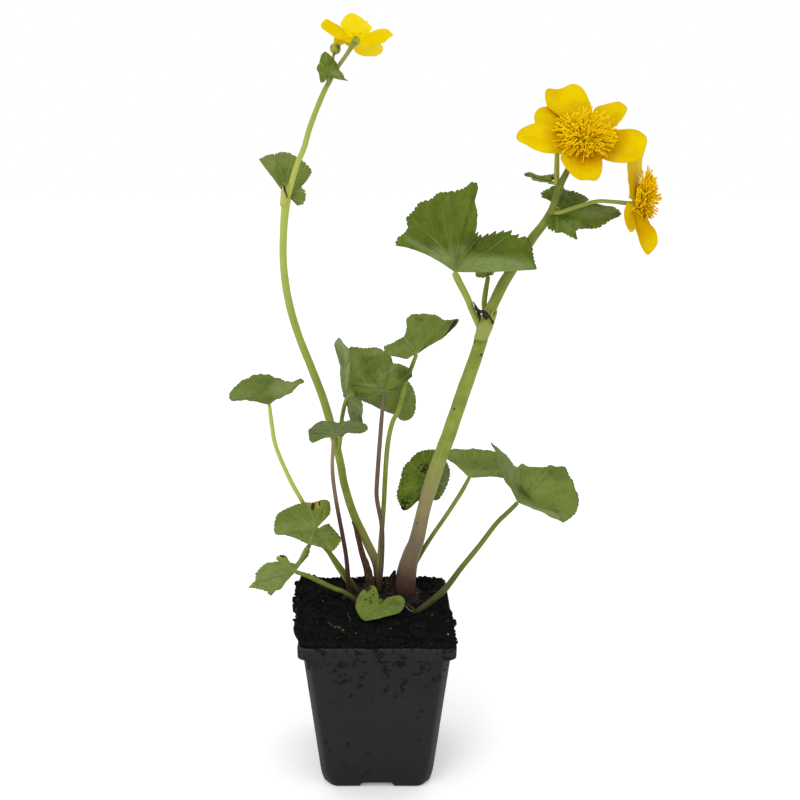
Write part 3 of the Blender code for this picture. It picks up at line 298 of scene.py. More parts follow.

# What makes each blade its own.  A mark is an oval seen from the front: its kind, its middle
# and its half widths across and up, its turn in degrees and its strength, which for a swell
# is how far it stands out.  A bow bends the veins: share round the blade, sag in millimetres.
# Pale and grey marks are painted sheen where the blade turns to the light, partly its paler underside showing; dark
# marks are painted shade in creases, under folds and by the stalks, partly darker patches of the blade.
BLADE_LOOKS = {
    "high_leaf": {
        "bow": [(0.0, -0.9), (0.2, 0.0), (0.85, 0.0), (1.0, 2.1)],
        "marks": [
            ("pale", 20.0, 3.4, 22.0, 4.8, 0, 1.0), ("pale", -6.0, 6.4, 11.0, 4.4, -34, 1.0),
            ("pale", 0.5, 10.0, 6.0, 3.4, 20, 0.6), ("pale", -17.0, 12.6, 9.0, 1.8, -28, 0.7), ("dark", -12.8, 12.4, 1.8, 1.1, -20, 0.9),
            ("dark", -6.3, 7.0, 2.6, 0.8, -30, 0.7), ("dark", 16.0, 14.0, 13.0, 6.0, -5, 0.8),
            ("dark", -16.0, 24.0, 9.0, 9.0, 30, 0.25), ("bright", -28.0, 16.0, 6.0, 4.0, -20, 0.6),
            ("bright", 2.0, 34.0, 9.0, 7.0, 30, 0.4), ("swell", 12.0, 7.0, 24.0, 3.0, -2, 1.5),
            ("swell", -14.0, 13.0, 8.0, 2.0, -25, -1.4)],
        "points": (0.14, 0.36), "veins": 9, "veined": 1.5},
    "collar_leaf": {
        "marks": [
            ("pale", 20.0, -1.0, 11.0, 3.2, 8, 0.8), ("dark", 5.0, 5.0, 7.0, 5.0, 20, 0.5),
            ("dark", -4.0, 0.0, 5.0, 4.0, 0, 0.55), ("pale", 6.0, -8.0, 7.0, 3.0, -10, 0.4),
            ("swell", 14.0, 2.0, 14.0, 1.6, 8, 1.2)],
        "veined": 0.35},
    "narrow_leaf": {
        "marks": [("brown", 4.0, 1.8, 1.6, 1.2, -60, 1.0), ("pale", -9.0, 3.4, 4.0, 0.8, -15, 0.5)],
        "teeth": 0.35},
    "left_node_leaf": {
        "marks": [
            ("dark", -2.0, 12.0, 6.0, 5.0, 30, 0.4), ("pale", -9.0, 19.0, 5.0, 3.0, -30, 0.3),
            ("pale", 3.0, 3.0, 3.5, 3.0, 20, 0.45), ("swell", -4.0, 12.0, 3.0, 9.0, 30, 1.1)]},
    "bract_leaf": {
        "marks": [("dark", 1.0, 5.0, 3.0, 5.0, 0, 0.3), ("pale", 6.0, 1.0, 4.0, 2.0, -20, 0.8)],
        "teeth": 0.3, "veined": 0.3},
    "left_cup_leaf": {
        "marks": [
            ("pale", 9.0, 9.0, 12.0, 3.4, 12, 0.8), ("pale", -16.0, 6.0, 8.0, 2.2, 5, 0.5),
            ("dark", -6.0, 9.0, 8.0, 4.0, 10, 0.3), ("swell", 4.0, 7.0, 5.0, 2.5, 40, 1.0)],
        "teeth": 0.45, "veined": 0.5},
    "edge_on_leaf": {
        "marks": [
            ("grey", 2.0, 7.0, 20.0, 7.0, 5, 0.8), ("dark", -10.5, 3.4, 5.0, 0.8, 0, 1.1),
            ("bright", -11.5, 0.0, 4.0, 2.2, 0, 1.0), ("dark", 14.0, 3.0, 7.0, 1.0, 14, 0.5)],
        "teeth": 0.25},
    "centre_leaf": {
        "marks": [
            ("dark", 12.5, 11.5, 6.5, 5.0, -30, 1.0), ("pale", -9.0, 4.6, 9.0, 0.9, -6, 0.9),
            ("pale", -4.6, 22.0, 5.0, 2.0, 20, 0.8), ("pale", 1.5, 12.5, 6.5, 1.6, 42, 0.8),
            ("pale", -1.5, 9.0, 4.5, 1.4, 38, 0.6), ("dark", -7.0, 12.0, 5.0, 3.0, 35, 0.5),
            ("dark", -13.0, 6.0, 4.0, 2.0, 0, 0.45), ("pale", -16.0, 16.0, 3.0, 8.0, 10, 0.35),
            ("swell", -2.0, 13.0, 9.0, 2.0, 40, 1.9), ("swell", -7.0, 17.0, 9.0, 2.2, 25, -1.6),
            ("swell", -9.0, 5.0, 10.0, 1.6, -6, 1.5), ("swell", -12.0, 21.0, 5.0, 2.0, 20, 1.5),
            ("brown", 16.4, 9.4, 1.4, 0.8, 30, 0.8)],
        "teeth": 0.6},
    "strip_leaf": {
        "marks": [
            ("pale", -3.0, 24.0, 5.5, 15.0, 10, 1.5), ("pale", -2.0, 9.0, 2.6, 8.0, 0, 1.0),
            ("grey", 4.0, -9.0, 7.0, 12.0, 5, 1.0)],
        "teeth": 0.35},
    "tall_leaf": {
        "marks": [
            ("grey", 23.0, 18.0, 3.5, 3.0, 45, 1.2), ("brown", 19.5, 12.6, 9.0, 1.1, 52, 1.1),
            ("pale", -10.0, 3.0, 8.0, 2.0, 15, 0.4), ("dark", 3.0, 18.5, 1.4, 1.0, 0, 0.7),
            ("swell", 3.0, 12.0, 4.0, 8.0, -20, 1.2)],
        "teeth": 0.45},
    "spotted_leaf": {
        "marks": [
            ("flecked", -3.2, 8.4, 6.0, 3.4, 15, 2.8), ("brown", -17.2, -17.4, 1.9, 1.4, 0, 1.4),
            ("flecked", -16.0, -15.0, 4.0, 4.0, 0, 2.2),
            ("flecked", -14.0, -12.0, 8.0, 7.0, 0, 1.0), ("flecked", -17.0, 1.0, 4.0, 11.0, 0, 0.9),
            ("grey", 9.5, -1.0, 4.0, 16.0, 0, 1.0), ("bright", -10.0, -4.0, 6.0, 5.0, 0, 0.4)],
        "veins": 11, "teeth": 0.75, "veined": 0.4},
    "right_inner_leaf": {
        "marks": [
            ("pale", -8.0, 10.5, 4.0, 3.0, -20, 0.6), ("pale", 8.0, 2.0, 14.0, 1.4, -4, 0.6),
            ("dark", 4.0, 6.0, 5.0, 2.0, 10, 0.35)],
        "teeth": 0.45, "veined": 0.6},
    "right_outer_leaf": {
        "marks": [
            ("grey", -9.0, 24.0, 5.0, 20.0, 24, 0.95), ("pale", 11.5, -3.0, 17.0, 1.8, -17, 1.0),
            ("dark", 0.5, 8.5, 8.0, 2.0, -52, 1.1), ("dark", 27.5, 14.0, 7.0, 4.5, -10, 0.4),
            ("pale", 14.0, 8.0, 7.0, 6.0, 0, 0.3), ("swell", 20.0, 8.0, 2.0, 12.0, 14, 1.6),
            ("swell", 6.0, 5.0, 8.0, 1.6, -52, -1.2), ("dark", 4.0, 5.0, 8.0, 1.1, -45, 1.2)],
        "teeth": 0.5, "veined": 0.6},
    "low_left_leaf": {
        "marks": [
            ("old", 0.6, 16.6, 5.0, 2.6, -5, 0.55), ("brown", -0.7, 15.0, 1.3, 2.2, -15, 1.1),
            ("brown", 3.4, 17.0, 0.6, 1.4, 10, 1.0), ("pale", -18.0, 3.0, 7.0, 3.4, 10, 0.5),
            ("pale", 1.0, 2.0, 10.0, 4.0, -15, 0.4), ("dark", 10.0, 2.0, 5.0, 3.0, -20, 0.4),
            ("swell", 0.0, 3.0, 12.0, 2.0, -12, 1.2)],
        "teeth": 0.55},
    "lowest_left_leaf": {
        "marks": [
            ("pale", -14.0, -2.0, 10.0, 6.0, 20, 0.5), ("flecked", -19.0, -5.0, 8.0, 4.0, 20, 0.45),
            ("brown", -8.6, 8.6, 2.4, 0.7, -10, 1.0), ("old", -8.6, 7.0, 3.4, 1.4, 0, 0.4),
            ("brown", -14.5, -10.5, 1.2, 0.8, 40, 0.9), ("old", -26.0, -6.0, 3.0, 2.0, 30, 0.4),
            ("dark", -7.0, -1.0, 5.0, 3.0, 20, 0.25), ("swell", -14.0, 0.0, 8.0, 2.0, 30, 1.3)],
        "teeth": 1.3},
    "soil_leaf": {
        "marks": [
            ("brown", -6.5, 9.4, 2.2, 1.2, 10, 1.1), ("flecked", -6.0, 6.0, 6.0, 4.0, 0, 1.0),
            ("dark", -5.0, 3.0, 1.2, 1.2, 0, 1.0), ("grey", 4.0, -1.0, 11.0, 3.0, 12, 0.25),
            ("dark", 9.0, 3.0, 3.0, 2.0, 20, 0.5), ("old", -7.0, 5.0, 4.0, 4.0, 0, 0.2)],
        "veined": 0.3},
    "shoot_leaf": {"marks": []},
}

# Flowers: the joint of the petals, the way the flower faces, the reach of its stamens, and
# each petal's root and rim as offsets from the joint.
# Per petal, one list gives the strength of an orange painted shade of the stamens near its root, the other a
# painted shade over the petal, turned to painted light where negative; the side tuft also gets painted shade as a
# whole.
FLOWERS = {
    "facing_flower": {
        "joint": Vector((98, -57, 376)), "faces": Vector((0.0, -0.82, 0.57)),
        "tuft": (14.4, 13.8, 5.6, 4.8), "stamens": 460,
        "warm": (0.25, 0.3, 0.6, 0.9, 0.5, 0.3), "deep": (0.0, 0.1, 0.1, 0.1, 0.0, 0.15),
        "shift": Vector((-1.0, -0.8, -2.0)),
        "petals": [
            ((-1, 1, 3), [
                (-12, 5, 10), (-17, 8, 14), (-18, 10, 20), (-16, 12, 22.5), (-11, 11, 22),
                (-5, 13, 24.5), (-1, 12, 23.5), (2, 10, 19), (4, 7, 13), (3, 3, 8)]),
            ((2, 2, 2), [
                (4, 6, 11), (7, 8, 14), (15, 9, 16), (18, 9, 16), (21, 8, 13), (19, 6, 9),
                (15, 3, 5), (10, 2, 1)]),
            ((3, -1, -1), [
                (10, 1, 3), (16, 0, 3), (23, -1, 3), (26.5, -2, 1), (28, -4, -2), (26.5, -6, -7.5),
                (25, -8, -10), (20, -8, -12), (12, -8, -12), (6, -7, -10)]),
            ((0, -2, -3), [
                (-10.5, -8, -7), (-13.5, -11, -10), (-12, -12, -13), (-9, -13, -17), (-5, -15, -20),
                (-1, -15, -20), (3, -15, -20), (5.5, -13, -16), (6, -10, -11), (5, -6, -6)]),
            ((-3, -1, -1), [
                (-10, 0, 4), (-17, 0, 5), (-23, 0, 6), (-28, -1, 4.5), (-32, -3, 2), (-33, -5, -1.5),
                (-29, -6, -4), (-23, -7, -7), (-18, -6, -8), (-11, -4, -7.5), (-7, -3, -4)]),
            ((-2, 2, 2), [
                (-11, 5, 2), (-21, 5, 4), (-23, 6, 7), (-23, 8, 10), (-21, 9, 13), (-17, 10, 14),
                (-13, 9, 13)])]},
    "side_flower": {
        "joint": Vector((122, -60, 345)), "faces": Vector((0.95, -0.3, -0.04)),
        "tuft": (13.4, 11.8, 6.2, 3.6), "stamens": 430, "painted_stamen_shade": 0.4, "spread": 0.88,
        "shift": Vector((0.8, 0.0, 2.4)),
        "warm": (0.15, 0.25, 0.4, 0.5, 0.5), "deep": (0.0, 0.15, 0.3, 0.5, 0.5),
        "petals": [
            ((0, -5, 2), [
                (-3, -3, 5), (-4.2, -2.5, 12.8), (-4.7, -2, 20), (-3.4, 0, 24.6), (0.7, 3, 26),
                (4.2, 6, 23), (4.7, 7, 17.5), (4.6, 7, 12.9), (3, 4, 5)]),
            ((0, -5, -2), [
                (-4, -4, 1), (-4.9, -2, -4.2), (-3.3, -1, -9.3), (0, 2, -13.2), (2.5, 3, -11.4),
                (2.5, 3, -5.3)]),
            ((-2, -6, -5), [
                (-1.8, -13, -11.3), (0.6, -14.5, -18.4), (3.5, -15, -22.6), (5.3, -15, -22),
                (8.1, -15, -17.7), (7.7, -14, -12.8), (5.6, -12.5, -9.7), (1.5, -10, -5.5)]),
            ((2, 3, 1), [
                (1, 7, 4), (2, 13, 8), (5, 18, 11), (9, 22, 10), (11, 22, 6), (9, 16, 3),
                (4, 8, 1)]),
            ((2, 3, -1), [
                (8, 15, -2), (10, 20, -6), (9, 21, -9), (5, 18, -10), (2, 12, -9)])]},
    "left_flower": {
        "joint": Vector((-12, 42, 433)), "faces": Vector((0.1, 0.55, 0.83)),
        "tuft": (9.0, 9.0, 3.4, 4.8), "stamens": 130, "spread": 0.72,
        "warm": (0.0, 0.0, 0.0, 0.1, 0.1), "deep": (-0.5, -1.0, -0.6, -0.5, -0.4),
        "shift": Vector((0.1, 0.6, 0.9)),
        "petals": [
            ((-2, -1, 1), [
                (-6, -1, 0), (-11, -1, 1), (-16, -3, 4), (-19, -5, 6), (-19, -7, 8),
                (-16, -8, 10), (-14, -8, 9), (-8, -7, 6), (-4, -4, 3)]),
            ((0, -2, 2), [
                (-5, -7, 3), (-8, -12, 6), (-7, -15, 8), (-5, -18, 10), (-2, -19, 11),
                (1, -19, 10), (5, -17, 8), (8, -13, 6), (9, -10, 4), (5, -5, 2)]),
            ((2, -1, 1), [
                (6, -5, 3), (14, -7, 5), (17, -7, 5), (19, -6, 4), (21, -4, 2), (19, -3, 1),
                (16, 0, -1), (12, 1, -2), (6, 1, -2)]),
            ((1, 2, 0), [
                (15, 8, -1.5), (15, 13, -4), (12, 16, -6), (9, 17, -6), (4, 15, -6), (0, 12, -5)]),
            ((-1, 2, 0), [
                (-1, 5, -2), (-4, 8, -2), (-7, 11, 0), (-10, 13, -1), (-13, 13, 0), (-13, 11, 2),
                (-12, 8, 3), (-6, 4, 1)])]},
}

# Blades and tubes
BLADE_THICK = 0.35
PETAL_THICK = 0.25
BLADE_ROWS = 22
PETAL_COLUMNS = 48
PETAL_ROWS = 16
TOOTH = 2.5
TOOTH_DEPTH = 0.95
MAIN_VEINS = 8


def shade(red, green, blue):
    """A colour given as 0 to 255, made linear for a material."""
    channels = [value / 255 for value in (red, green, blue)]
    return (*[c / 12.92 if c < 0.04045 else ((c + 0.055) / 1.055) ** 2.4 for c in channels], 1.0)


class Value:
    """What a socket gives; sums written with it add the Math nodes that work them out."""

    def __init__(self, finish, socket):
        self.finish = finish
        self.socket = socket

    def __add__(self, other):
        return self.finish.maths("ADD", self, other)

    def __sub__(self, other):
        return self.finish.maths("SUBTRACT", self, other)

    def __rsub__(self, other):
        return self.finish.maths("SUBTRACT", other, self)

    def __mul__(self, other):
        return self.finish.maths("MULTIPLY", self, other)

    def __pow__(self, power):
        return self.finish.maths("POWER", self, power)

    __radd__ = __add__
    __rmul__ = __mul__

    def apart(self, pitch):
        """How far the value is from the nearest multiple of a pitch."""
        return self.finish.maths("PINGPONG", self, pitch / 2)

    def rise(self, low, high):
        """0 up to low, 1 from high on, and a soft step between."""
        return self.finish.node(
            "ShaderNodeMapRange", {"interpolation_type": "SMOOTHSTEP"},
            {"Value": self, "From Min": low, "From Max": high})


class Finish:
    """One material, written as calls that add nodes and sums on their values."""

    def __init__(self, name, **fixed):
        self.material = bpy.data.materials.new(name)
        self.material.use_nodes = True
        self.tree = self.material.node_tree
        self.shader = self.tree.nodes["Principled BSDF"]
        for socket, value in fixed.items():
            self.give(socket.replace("_", " "), value)

    def node(self, kind, settings, inputs, output=0):
        """Add any node: first its settings, then the values or links of its sockets."""
        made = self.tree.nodes.new(kind)
        for name, value in settings.items():
            setattr(made, name, value)
        for socket, value in inputs.items():
            self.join(made.inputs[socket], value)
        return Value(self, made.outputs[output])

    def join(self, socket, value):
        """Link a value to a socket, or set a plain one on it."""
        if isinstance(value, Value):
            self.tree.links.new(value.socket, socket)
        else:
            socket.default_value = value

    def give(self, socket, value):
        """Feed one of the shader's sockets."""
        self.join(self.shader.inputs[socket], value)

    def maths(self, operation, one, other):
        return self.node("ShaderNodeMath", {"operation": operation}, {0: one, 1: other})

    def mix(self, share, one, other):
        """A colour between two others."""
        return self.node(
            "ShaderNodeMix", {"data_type": "RGBA"}, {"Factor": share, 6: one, 7: other}, output=2)

    def place(self):
        """The place on the object, in metres."""
        return self.node("ShaderNodeTexCoord", {}, {}, output="Object")

    def attribute(self, name):
        """A number that the mesh carries at its points."""
        return self.node("ShaderNodeAttribute", {"attribute_name": name}, {}, output="Fac")

    def stretched(self, source, scale):
        """Coordinates scaled differently along each axis."""
        return self.node("ShaderNodeMapping", {}, {"Vector": source, "Scale": scale})

    def cloud(self, size, detail=3.0, roughness=0.55, source=None):
        """Noise with lumps of about that size in millimetres."""
        return self.node("ShaderNodeTexNoise", {}, {
            "Vector": source or self.place(), "Scale": 1 / (size * MM), "Detail": detail,
            "Roughness": roughness})

    def cells(self, size, feature="F1", source=None):
        """Distance within cells of about that size in millimetres."""
        return self.node("ShaderNodeTexVoronoi", {"feature": feature}, {
            "Vector": source or self.place(), "Scale": 1 / (size * MM)}, output="Distance")

    def relief(self, height, depth, strength=1.0):
        """Bump the surface by a height between 0 and 1, so many millimetres deep."""
        self.give("Normal", self.node("ShaderNodeBump", {}, {
            "Height": height, "Distance": depth * MM, "Strength": strength}))


def pot_plastic():
    """Black recycled plastic with a painted highlight down its rounded corners and along the top of its lip,
    splashed with compost under the lip."""
    finish = Finish("pot_plastic", Specular_IOR_Level=0.12)
    height = finish.node("ShaderNodeSeparateXYZ", {}, {"Vector": finish.place()}, output="Z")
    high = height.rise(0.05, 0.095)
    broad = finish.cloud(30.0, 2.0)
    fine = finish.cloud(1.1, 4.0)
    dirt = (finish.cloud(6.0, 5.0, 0.7) + high * 0.10).rise(0.62, 0.67)
    specks = 1 - (finish.cells(3.2) - high * 0.05).rise(0.09, 0.17)
    thin = (finish.cloud(7.0) + high * 0.12).rise(0.5, 0.62)
    base = finish.mix(broad, shade(24, 24, 24), shade(30, 30, 30))
    base = finish.mix(fine.rise(0.4, 0.8) * 0.2, base, shade(44, 44, 43))
    # Painted highlight: paler bands down the rounded corners and along the lip's top edge.
    base = finish.mix(finish.attribute("worn") * (0.4 + fine * 0.6), base, shade(56, 56, 54))
    base = finish.mix((1 - height.rise(0.0, 0.03)) * 0.5, base, shade(19, 19, 19))
    soiled = finish.mix(dirt * 0.85, base, shade(10, 9, 8))
    finish.give("Base Color", finish.mix(specks * thin * 0.8, soiled, shade(9, 7, 6)))
    finish.give("Roughness", 0.45 + fine * 0.2 + dirt * 0.25)
    finish.relief(fine * 0.4 + dirt + specks * thin, 0.15, 0.5)
    return finish.material


def compost():
    """Moist, nearly black peat, crumbly, with a few browner fibres in it."""
    finish = Finish("compost", Specular_IOR_Level=0.1)
    lumps = finish.cloud(2.2, 6.0, 0.7)
    grit = finish.cells(1.1)
    brown = finish.cloud(6.0, 4.0).rise(0.55, 0.75)
    base = finish.mix(lumps.rise(0.3, 0.75), shade(6, 6, 6), shade(19, 18, 17))
    base = finish.mix(brown * 0.5, base, shade(30, 23, 16))
    finish.give("Base Color", finish.mix(finish.attribute("pale") * 0.8, base, shade(58, 50, 42)))
    finish.give("Roughness", 0.75 + grit * 0.25)
    finish.relief(lumps + grit * 0.5, 0.9, 0.8)
    return finish.material


def dry_sheath(name, dark, light):
    """Papery dead tissue with streaks along it."""
    finish = Finish(name, Specular_IOR_Level=0.2)
    streaks = finish.cloud(1.0, 4.0, 0.6, finish.stretched(finish.place(), (1.0, 1.0, 0.16)))
    patches = finish.cloud(5.0, 3.0)
    base = finish.mix(streaks.rise(0.3, 0.7), dark, light)
    finish.give("Base Color", finish.mix(patches.rise(0.5, 0.75) * 0.5, base, shade(34, 24, 20)))
    finish.give("Roughness", 0.65 + patches * 0.3)
    finish.relief(streaks, 0.35, 0.7)
    return finish.material


def living_stem():
    """Juicy green with faint fibres along it, pinkish grey where it is blushed a little and
    maroon where it is blushed a lot."""
    finish = Finish(
        "living_stem", Specular_IOR_Level=0.22, Specular_Tint=(0.9, 1.0, 0.6, 1.0), Subsurface_Weight=0.05,
        Subsurface_Radius=(0.004, 0.005, 0.002), Subsurface_Scale=0.2)
    along = finish.node("ShaderNodeUVMap", {"uv_map": "along"}, {})
    fibres = finish.node("ShaderNodeTexNoise", {}, {
        "Vector": finish.stretched(along, (22.0, 2.4, 1.0)), "Scale": 1.0, "Detail": 3.0})
    patches = finish.cloud(9.0, 3.0)
    tone = finish.attribute("tone")
    green = finish.mix(patches.rise(0.3, 0.7), shade(108, 120, 42), shade(128, 139, 56))
    green = finish.mix(tone.rise(0.0, 1.0), green, shade(170, 179, 86))
    # Negative tone: darker green, which on the facing flower's stalk is painted shadow from its flower.
    green = finish.mix((tone * -1).rise(0.0, 1.0) * 0.9, green, shade(70, 82, 32))
    green = finish.mix(fibres.rise(0.5, 0.8) * 0.22, green, shade(172, 180, 104))
    blush = finish.attribute("blush") + (patches - 0.5) * 0.22 + (fibres - 0.5) * 0.16
    base = finish.mix(blush.rise(0.02, 0.26), green, shade(136, 126, 86))
    base = finish.mix(blush.rise(0.24, 0.5), base, shade(114, 98, 78))
    base = finish.mix(blush.rise(0.5, 0.95), base, finish.mix(fibres, shade(54, 32, 30), shade(80, 54, 48)))
    base = finish.mix(finish.attribute("foot") * (0.7 + fibres * 0.6), base, shade(44, 33, 22))
    scars = finish.cloud(3.0, 4.0).rise(0.72, 0.77) * 0.6 + finish.attribute("scar")
    finish.give("Base Color", finish.mix(scars.rise(0.2, 0.6) * 0.85, base, shade(34, 28, 18)))
    finish.give("Roughness", 0.45 + fibres * 0.16)
    finish.relief(fibres - scars, 0.2, 0.6)
    return finish.material


def leaf_face(name, dark, light, vein, sunk, gloss):
    """One face of a leaf: main veins from the stalk, side veins, a fine net, stains and wear, painted sheen and
    painted shade.
    The blade carries the count of its main veins, how they wander, the pitch between them and
    the reach from the stalk in millimetres, and its own tone and marks."""
    finish = Finish(name, Specular_IOR_Level=0.2, Specular_Tint=(0.85, 1.0, 0.45, 1.0))
    along = finish.node("ShaderNodeUVMap", {"uv_map": "along"}, {})
    across = finish.node("ShaderNodeSeparateXYZ", {}, {"Vector": along}, output="X")
    up = finish.node("ShaderNodeSeparateXYZ", {}, {"Vector": along}, output="Y")
    reach = finish.attribute("reach")
    fan = across * finish.attribute("veins") + finish.attribute("wander") + 0.5
    gap = fan.apart(1.0) * finish.attribute("pitch")
    wander = finish.cloud(7.0, 2.0)
    patches = finish.cloud(11.0, 4.0, 0.6)
    mottle = finish.cloud(2.6, 3.0)
    net = 1 - finish.cells(1.5, "DISTANCE_TO_EDGE").rise(0.01, 0.09)
    side = 1 - (reach - gap * 1.4 + wander * 5.0).apart(5.2).rise(0.05, 0.34)
    main = 1 - gap.rise(0.08, 0.5)
    fading = 1 - (reach + (patches - 0.5) * 16.0).rise(16.0, 38.0) * 0.85
    veins = finish.maths("MAXIMUM", main, side * 0.7) * fading * finish.attribute("veined")
    tone = finish.attribute("tone")
    base = finish.mix(patches.rise(0.34, 0.66), dark, light)
    base = finish.mix(mottle.rise(0.35, 0.7) * 0.4, base, light)
    base = finish.mix(tone.rise(0.0, 1.0) * 0.75, base, shade(118, 132, 66))
    base = finish.mix((tone * -1).rise(0.0, 1.0) * 0.6, base, dark)
    base = finish.mix(finish.attribute("bright") * 0.8, base, shade(104, 122, 38))
    # Dark marks: mostly painted shade in creases, under folds and beside the stalks, partly darker patches of the
    # blade.
    base = finish.mix(finish.attribute("dark") * 0.8, base, shade(44, 60, 14))
    # Pale marks: painted sheen and highlights where the blade bends towards the light, partly its paler underside
    # showing.
    base = finish.mix(finish.attribute("pale") * (0.45 + mottle * 0.6), base, shade(124, 139, 88))
    # Grey marks: painted sheen, partly the grey-green underside showing.
    base = finish.mix(finish.attribute("grey") * (0.55 + mottle * 0.5), base, shade(99, 113, 70))
    base = finish.mix(net * 0.14, base, vein)
    base = finish.mix(veins * 0.6, base, vein)
    edge = (up + (mottle - 0.5) * 0.03).rise(0.965, 1.0)
    base = finish.mix(edge * 0.45, base, shade(50, 60, 22))
    old = finish.attribute("old") * (1 + (mottle - 0.5) * 1.2)
    base = finish.mix(old.rise(0.15, 0.55) * 0.9, base, shade(146, 132, 44))
    base = finish.mix(old.rise(0.6, 1.0), base, shade(58, 38, 20))
    flecked = finish.attribute("flecked")
    flecks = (finish.cloud(1.3, 3.0) + flecked * 0.05).rise(0.62, 0.67)
    base = finish.mix(flecked * flecks, base, shade(20, 22, 8))
    brown = (finish.attribute("brown") * (0.6 + mottle * 0.9)).rise(0.3, 0.6)
    base = finish.mix(brown, base, shade(48, 32, 18))
    finish.give("Base Color", base)
    finish.give("Roughness", gloss + patches * 0.2 - veins * 0.06)
    finish.relief(mottle * 0.5 + patches * 0.8 - veins * sunk * 0.6 - net * 0.15 * sunk, 0.7, 0.8)
    return finish.material


def petal_face():
    """Deep glossy yellow with fine lines from the root; near the root an orange painted shade and reflection of the
    stamens, and over each petal its own painted shade, turned to painted light where negative.
    """
    finish = Finish("petal_yellow", Specular_IOR_Level=0.12, Specular_Tint=(1.0, 0.8, 0.04, 1.0))
    along = finish.node("ShaderNodeUVMap", {"uv_map": "along"}, {})
    lines = finish.node("ShaderNodeTexNoise", {}, {
        "Vector": finish.stretched(along, (34.0, 1.4, 1.0)), "Scale": 1.0, "Detail": 2.0})
    patches = finish.cloud(8.0, 2.0)
    base = finish.mix(patches.rise(0.3, 0.7), shade(208, 174, 0), shade(218, 190, 0))
    base = finish.mix(lines.rise(0.4, 0.8) * 0.22, base, shade(200, 160, 0))
    # Painted shade on petals turned from the light, and painted light where the number is negative, as on the left
    # flower seen from below.
    deep = finish.attribute("deep")
    base = finish.mix(deep.rise(0.0, 1.0) * 0.85, base, shade(180, 136, 0))
    base = finish.mix((deep * -1).rise(0.0, 1.0), base, shade(238, 212, 0))
    # Orange painted shade and reflection of the stamens near each petal's root.
    warm = 1 - (finish.attribute("reach") + (lines - 0.5) * 6).rise(12.0, 21.0)
    finish.give("Base Color", finish.mix(warm * finish.attribute("warm") * 0.9, base, shade(176, 116, 0)))
    finish.give("Roughness", 0.34 + lines * 0.16)
    finish.relief(lines * 0.4 + patches * 0.6, 0.1, 0.35)
    return finish.material


def stamen_gold():
    """Golden threads with warmer pollen heads, orange at their feet, and a deeper orange painted shade on a tuft's
    lower side.
    """
    finish = Finish(
        "stamen_gold", Specular_IOR_Level=0.12, Specular_Tint=(1.0, 0.8, 0.04, 1.0),
        Subsurface_Weight=0.2, Subsurface_Radius=(0.0025, 0.0023, 0.0002), Subsurface_Scale=0.3)
    tint = finish.attribute("tint")
    grains = finish.cloud(0.5, 2.0)
    base = finish.mix(tint.rise(0.0, 1.0), shade(244, 210, 8), shade(228, 184, 8))
    # Deeper orange where the tint carries painted shade on the tuft's lower side.
    base = finish.mix(tint.rise(1.0, 2.0), base, shade(206, 156, 12))
    finish.give("Base Color", finish.mix(grains * 0.3, base, shade(220, 168, 6)))
    finish.give("Roughness", 0.5 + grains * 0.2)
    finish.relief(grains, 0.12, 0.6)
    return finish.material


def pod_green():
    """The closed buds and the necks under the flowers."""
    finish = Finish("pod_green", Specular_IOR_Level=0.2)
    patches = finish.cloud(1.6, 3.0)
    base = finish.mix(patches, shade(136, 146, 52), shade(168, 166, 66))
    finish.give("Base Color", finish.mix(finish.attribute("old"), base, shade(84, 56, 28)))
    finish.give("Roughness", 0.42 + patches * 0.15)
    finish.relief(patches, 0.2, 0.5)
    return finish.material


def scrap():
    """Roots, straw and grit in the compost, each with its own tint from dark to pale."""
    finish = Finish("scraps", Specular_IOR_Level=0.15)
    tint = finish.attribute("tint")
    grain = finish.cloud(1.2, 3.0)
    base = finish.mix(tint.rise(0.0, 0.5), shade(34, 24, 18), shade(84, 52, 30))
    base = finish.mix(tint.rise(0.5, 1.0), base, shade(176, 166, 140))
    finish.give("Base Color", finish.mix(grain * 0.5, base, shade(62, 46, 32)))
    finish.give("Roughness", 0.7 + grain * 0.2)
    finish.relief(grain, 0.15, 0.5)
    return finish.material


def pale_floor():
    """The plain floor that the pot stands on."""
    finish = Finish(
        "pale_floor", Roughness=1.0, Specular_IOR_Level=0.0, Emission_Color=(1.0, 1.0, 1.0, 1.0),
        Emission_Strength=0.12)
    grain = finish.cloud(120.0, 2.0)
    finish.give("Base Color", finish.mix(grain, (0.98, 0.98, 0.98, 1.0), (1.0, 1.0, 1.0, 1.0)))
    return finish.material


class Line:
    """A smooth line through chosen points; at(share) is the place that far along it."""

    def __init__(self, points, closed=False, steps=10):
        points = [Vector(point) for point in points]
        if closed:
            points = [*points, points[0]]
            ends = [points[-2], *points, points[1]]
        else:
            ends = [points[0] * 2 - points[1], *points, points[-1] * 2 - points[-2]]
        self.chain = []
        for before, start, end, after in zip(ends, ends[1:], ends[2:], ends[3:]):
            for step in range(steps):
                t = step / steps
                self.chain.append(0.5 * (
                    2 * start + (end - before) * t
                    + (2 * before - 5 * start + 4 * end - after) * t ** 2
                    + (3 * start - before - 3 * end + after) * t ** 3))
        self.chain.append(points[-1])
        self.marks = [0.0]
        for near, far in zip(self.chain, self.chain[1:]):
            self.marks.append(self.marks[-1] + (far - near).length)
        self.length = self.marks[-1]

    def at(self, share):
        wanted = min(1.0, max(0.0, share)) * self.length
        near = min(len(self.chain) - 2, bisect_right(self.marks, wanted) - 1)
        span = max(1e-9, self.marks[near + 1] - self.marks[near])
        return self.chain[near].lerp(self.chain[near + 1], (wanted - self.marks[near]) / span)


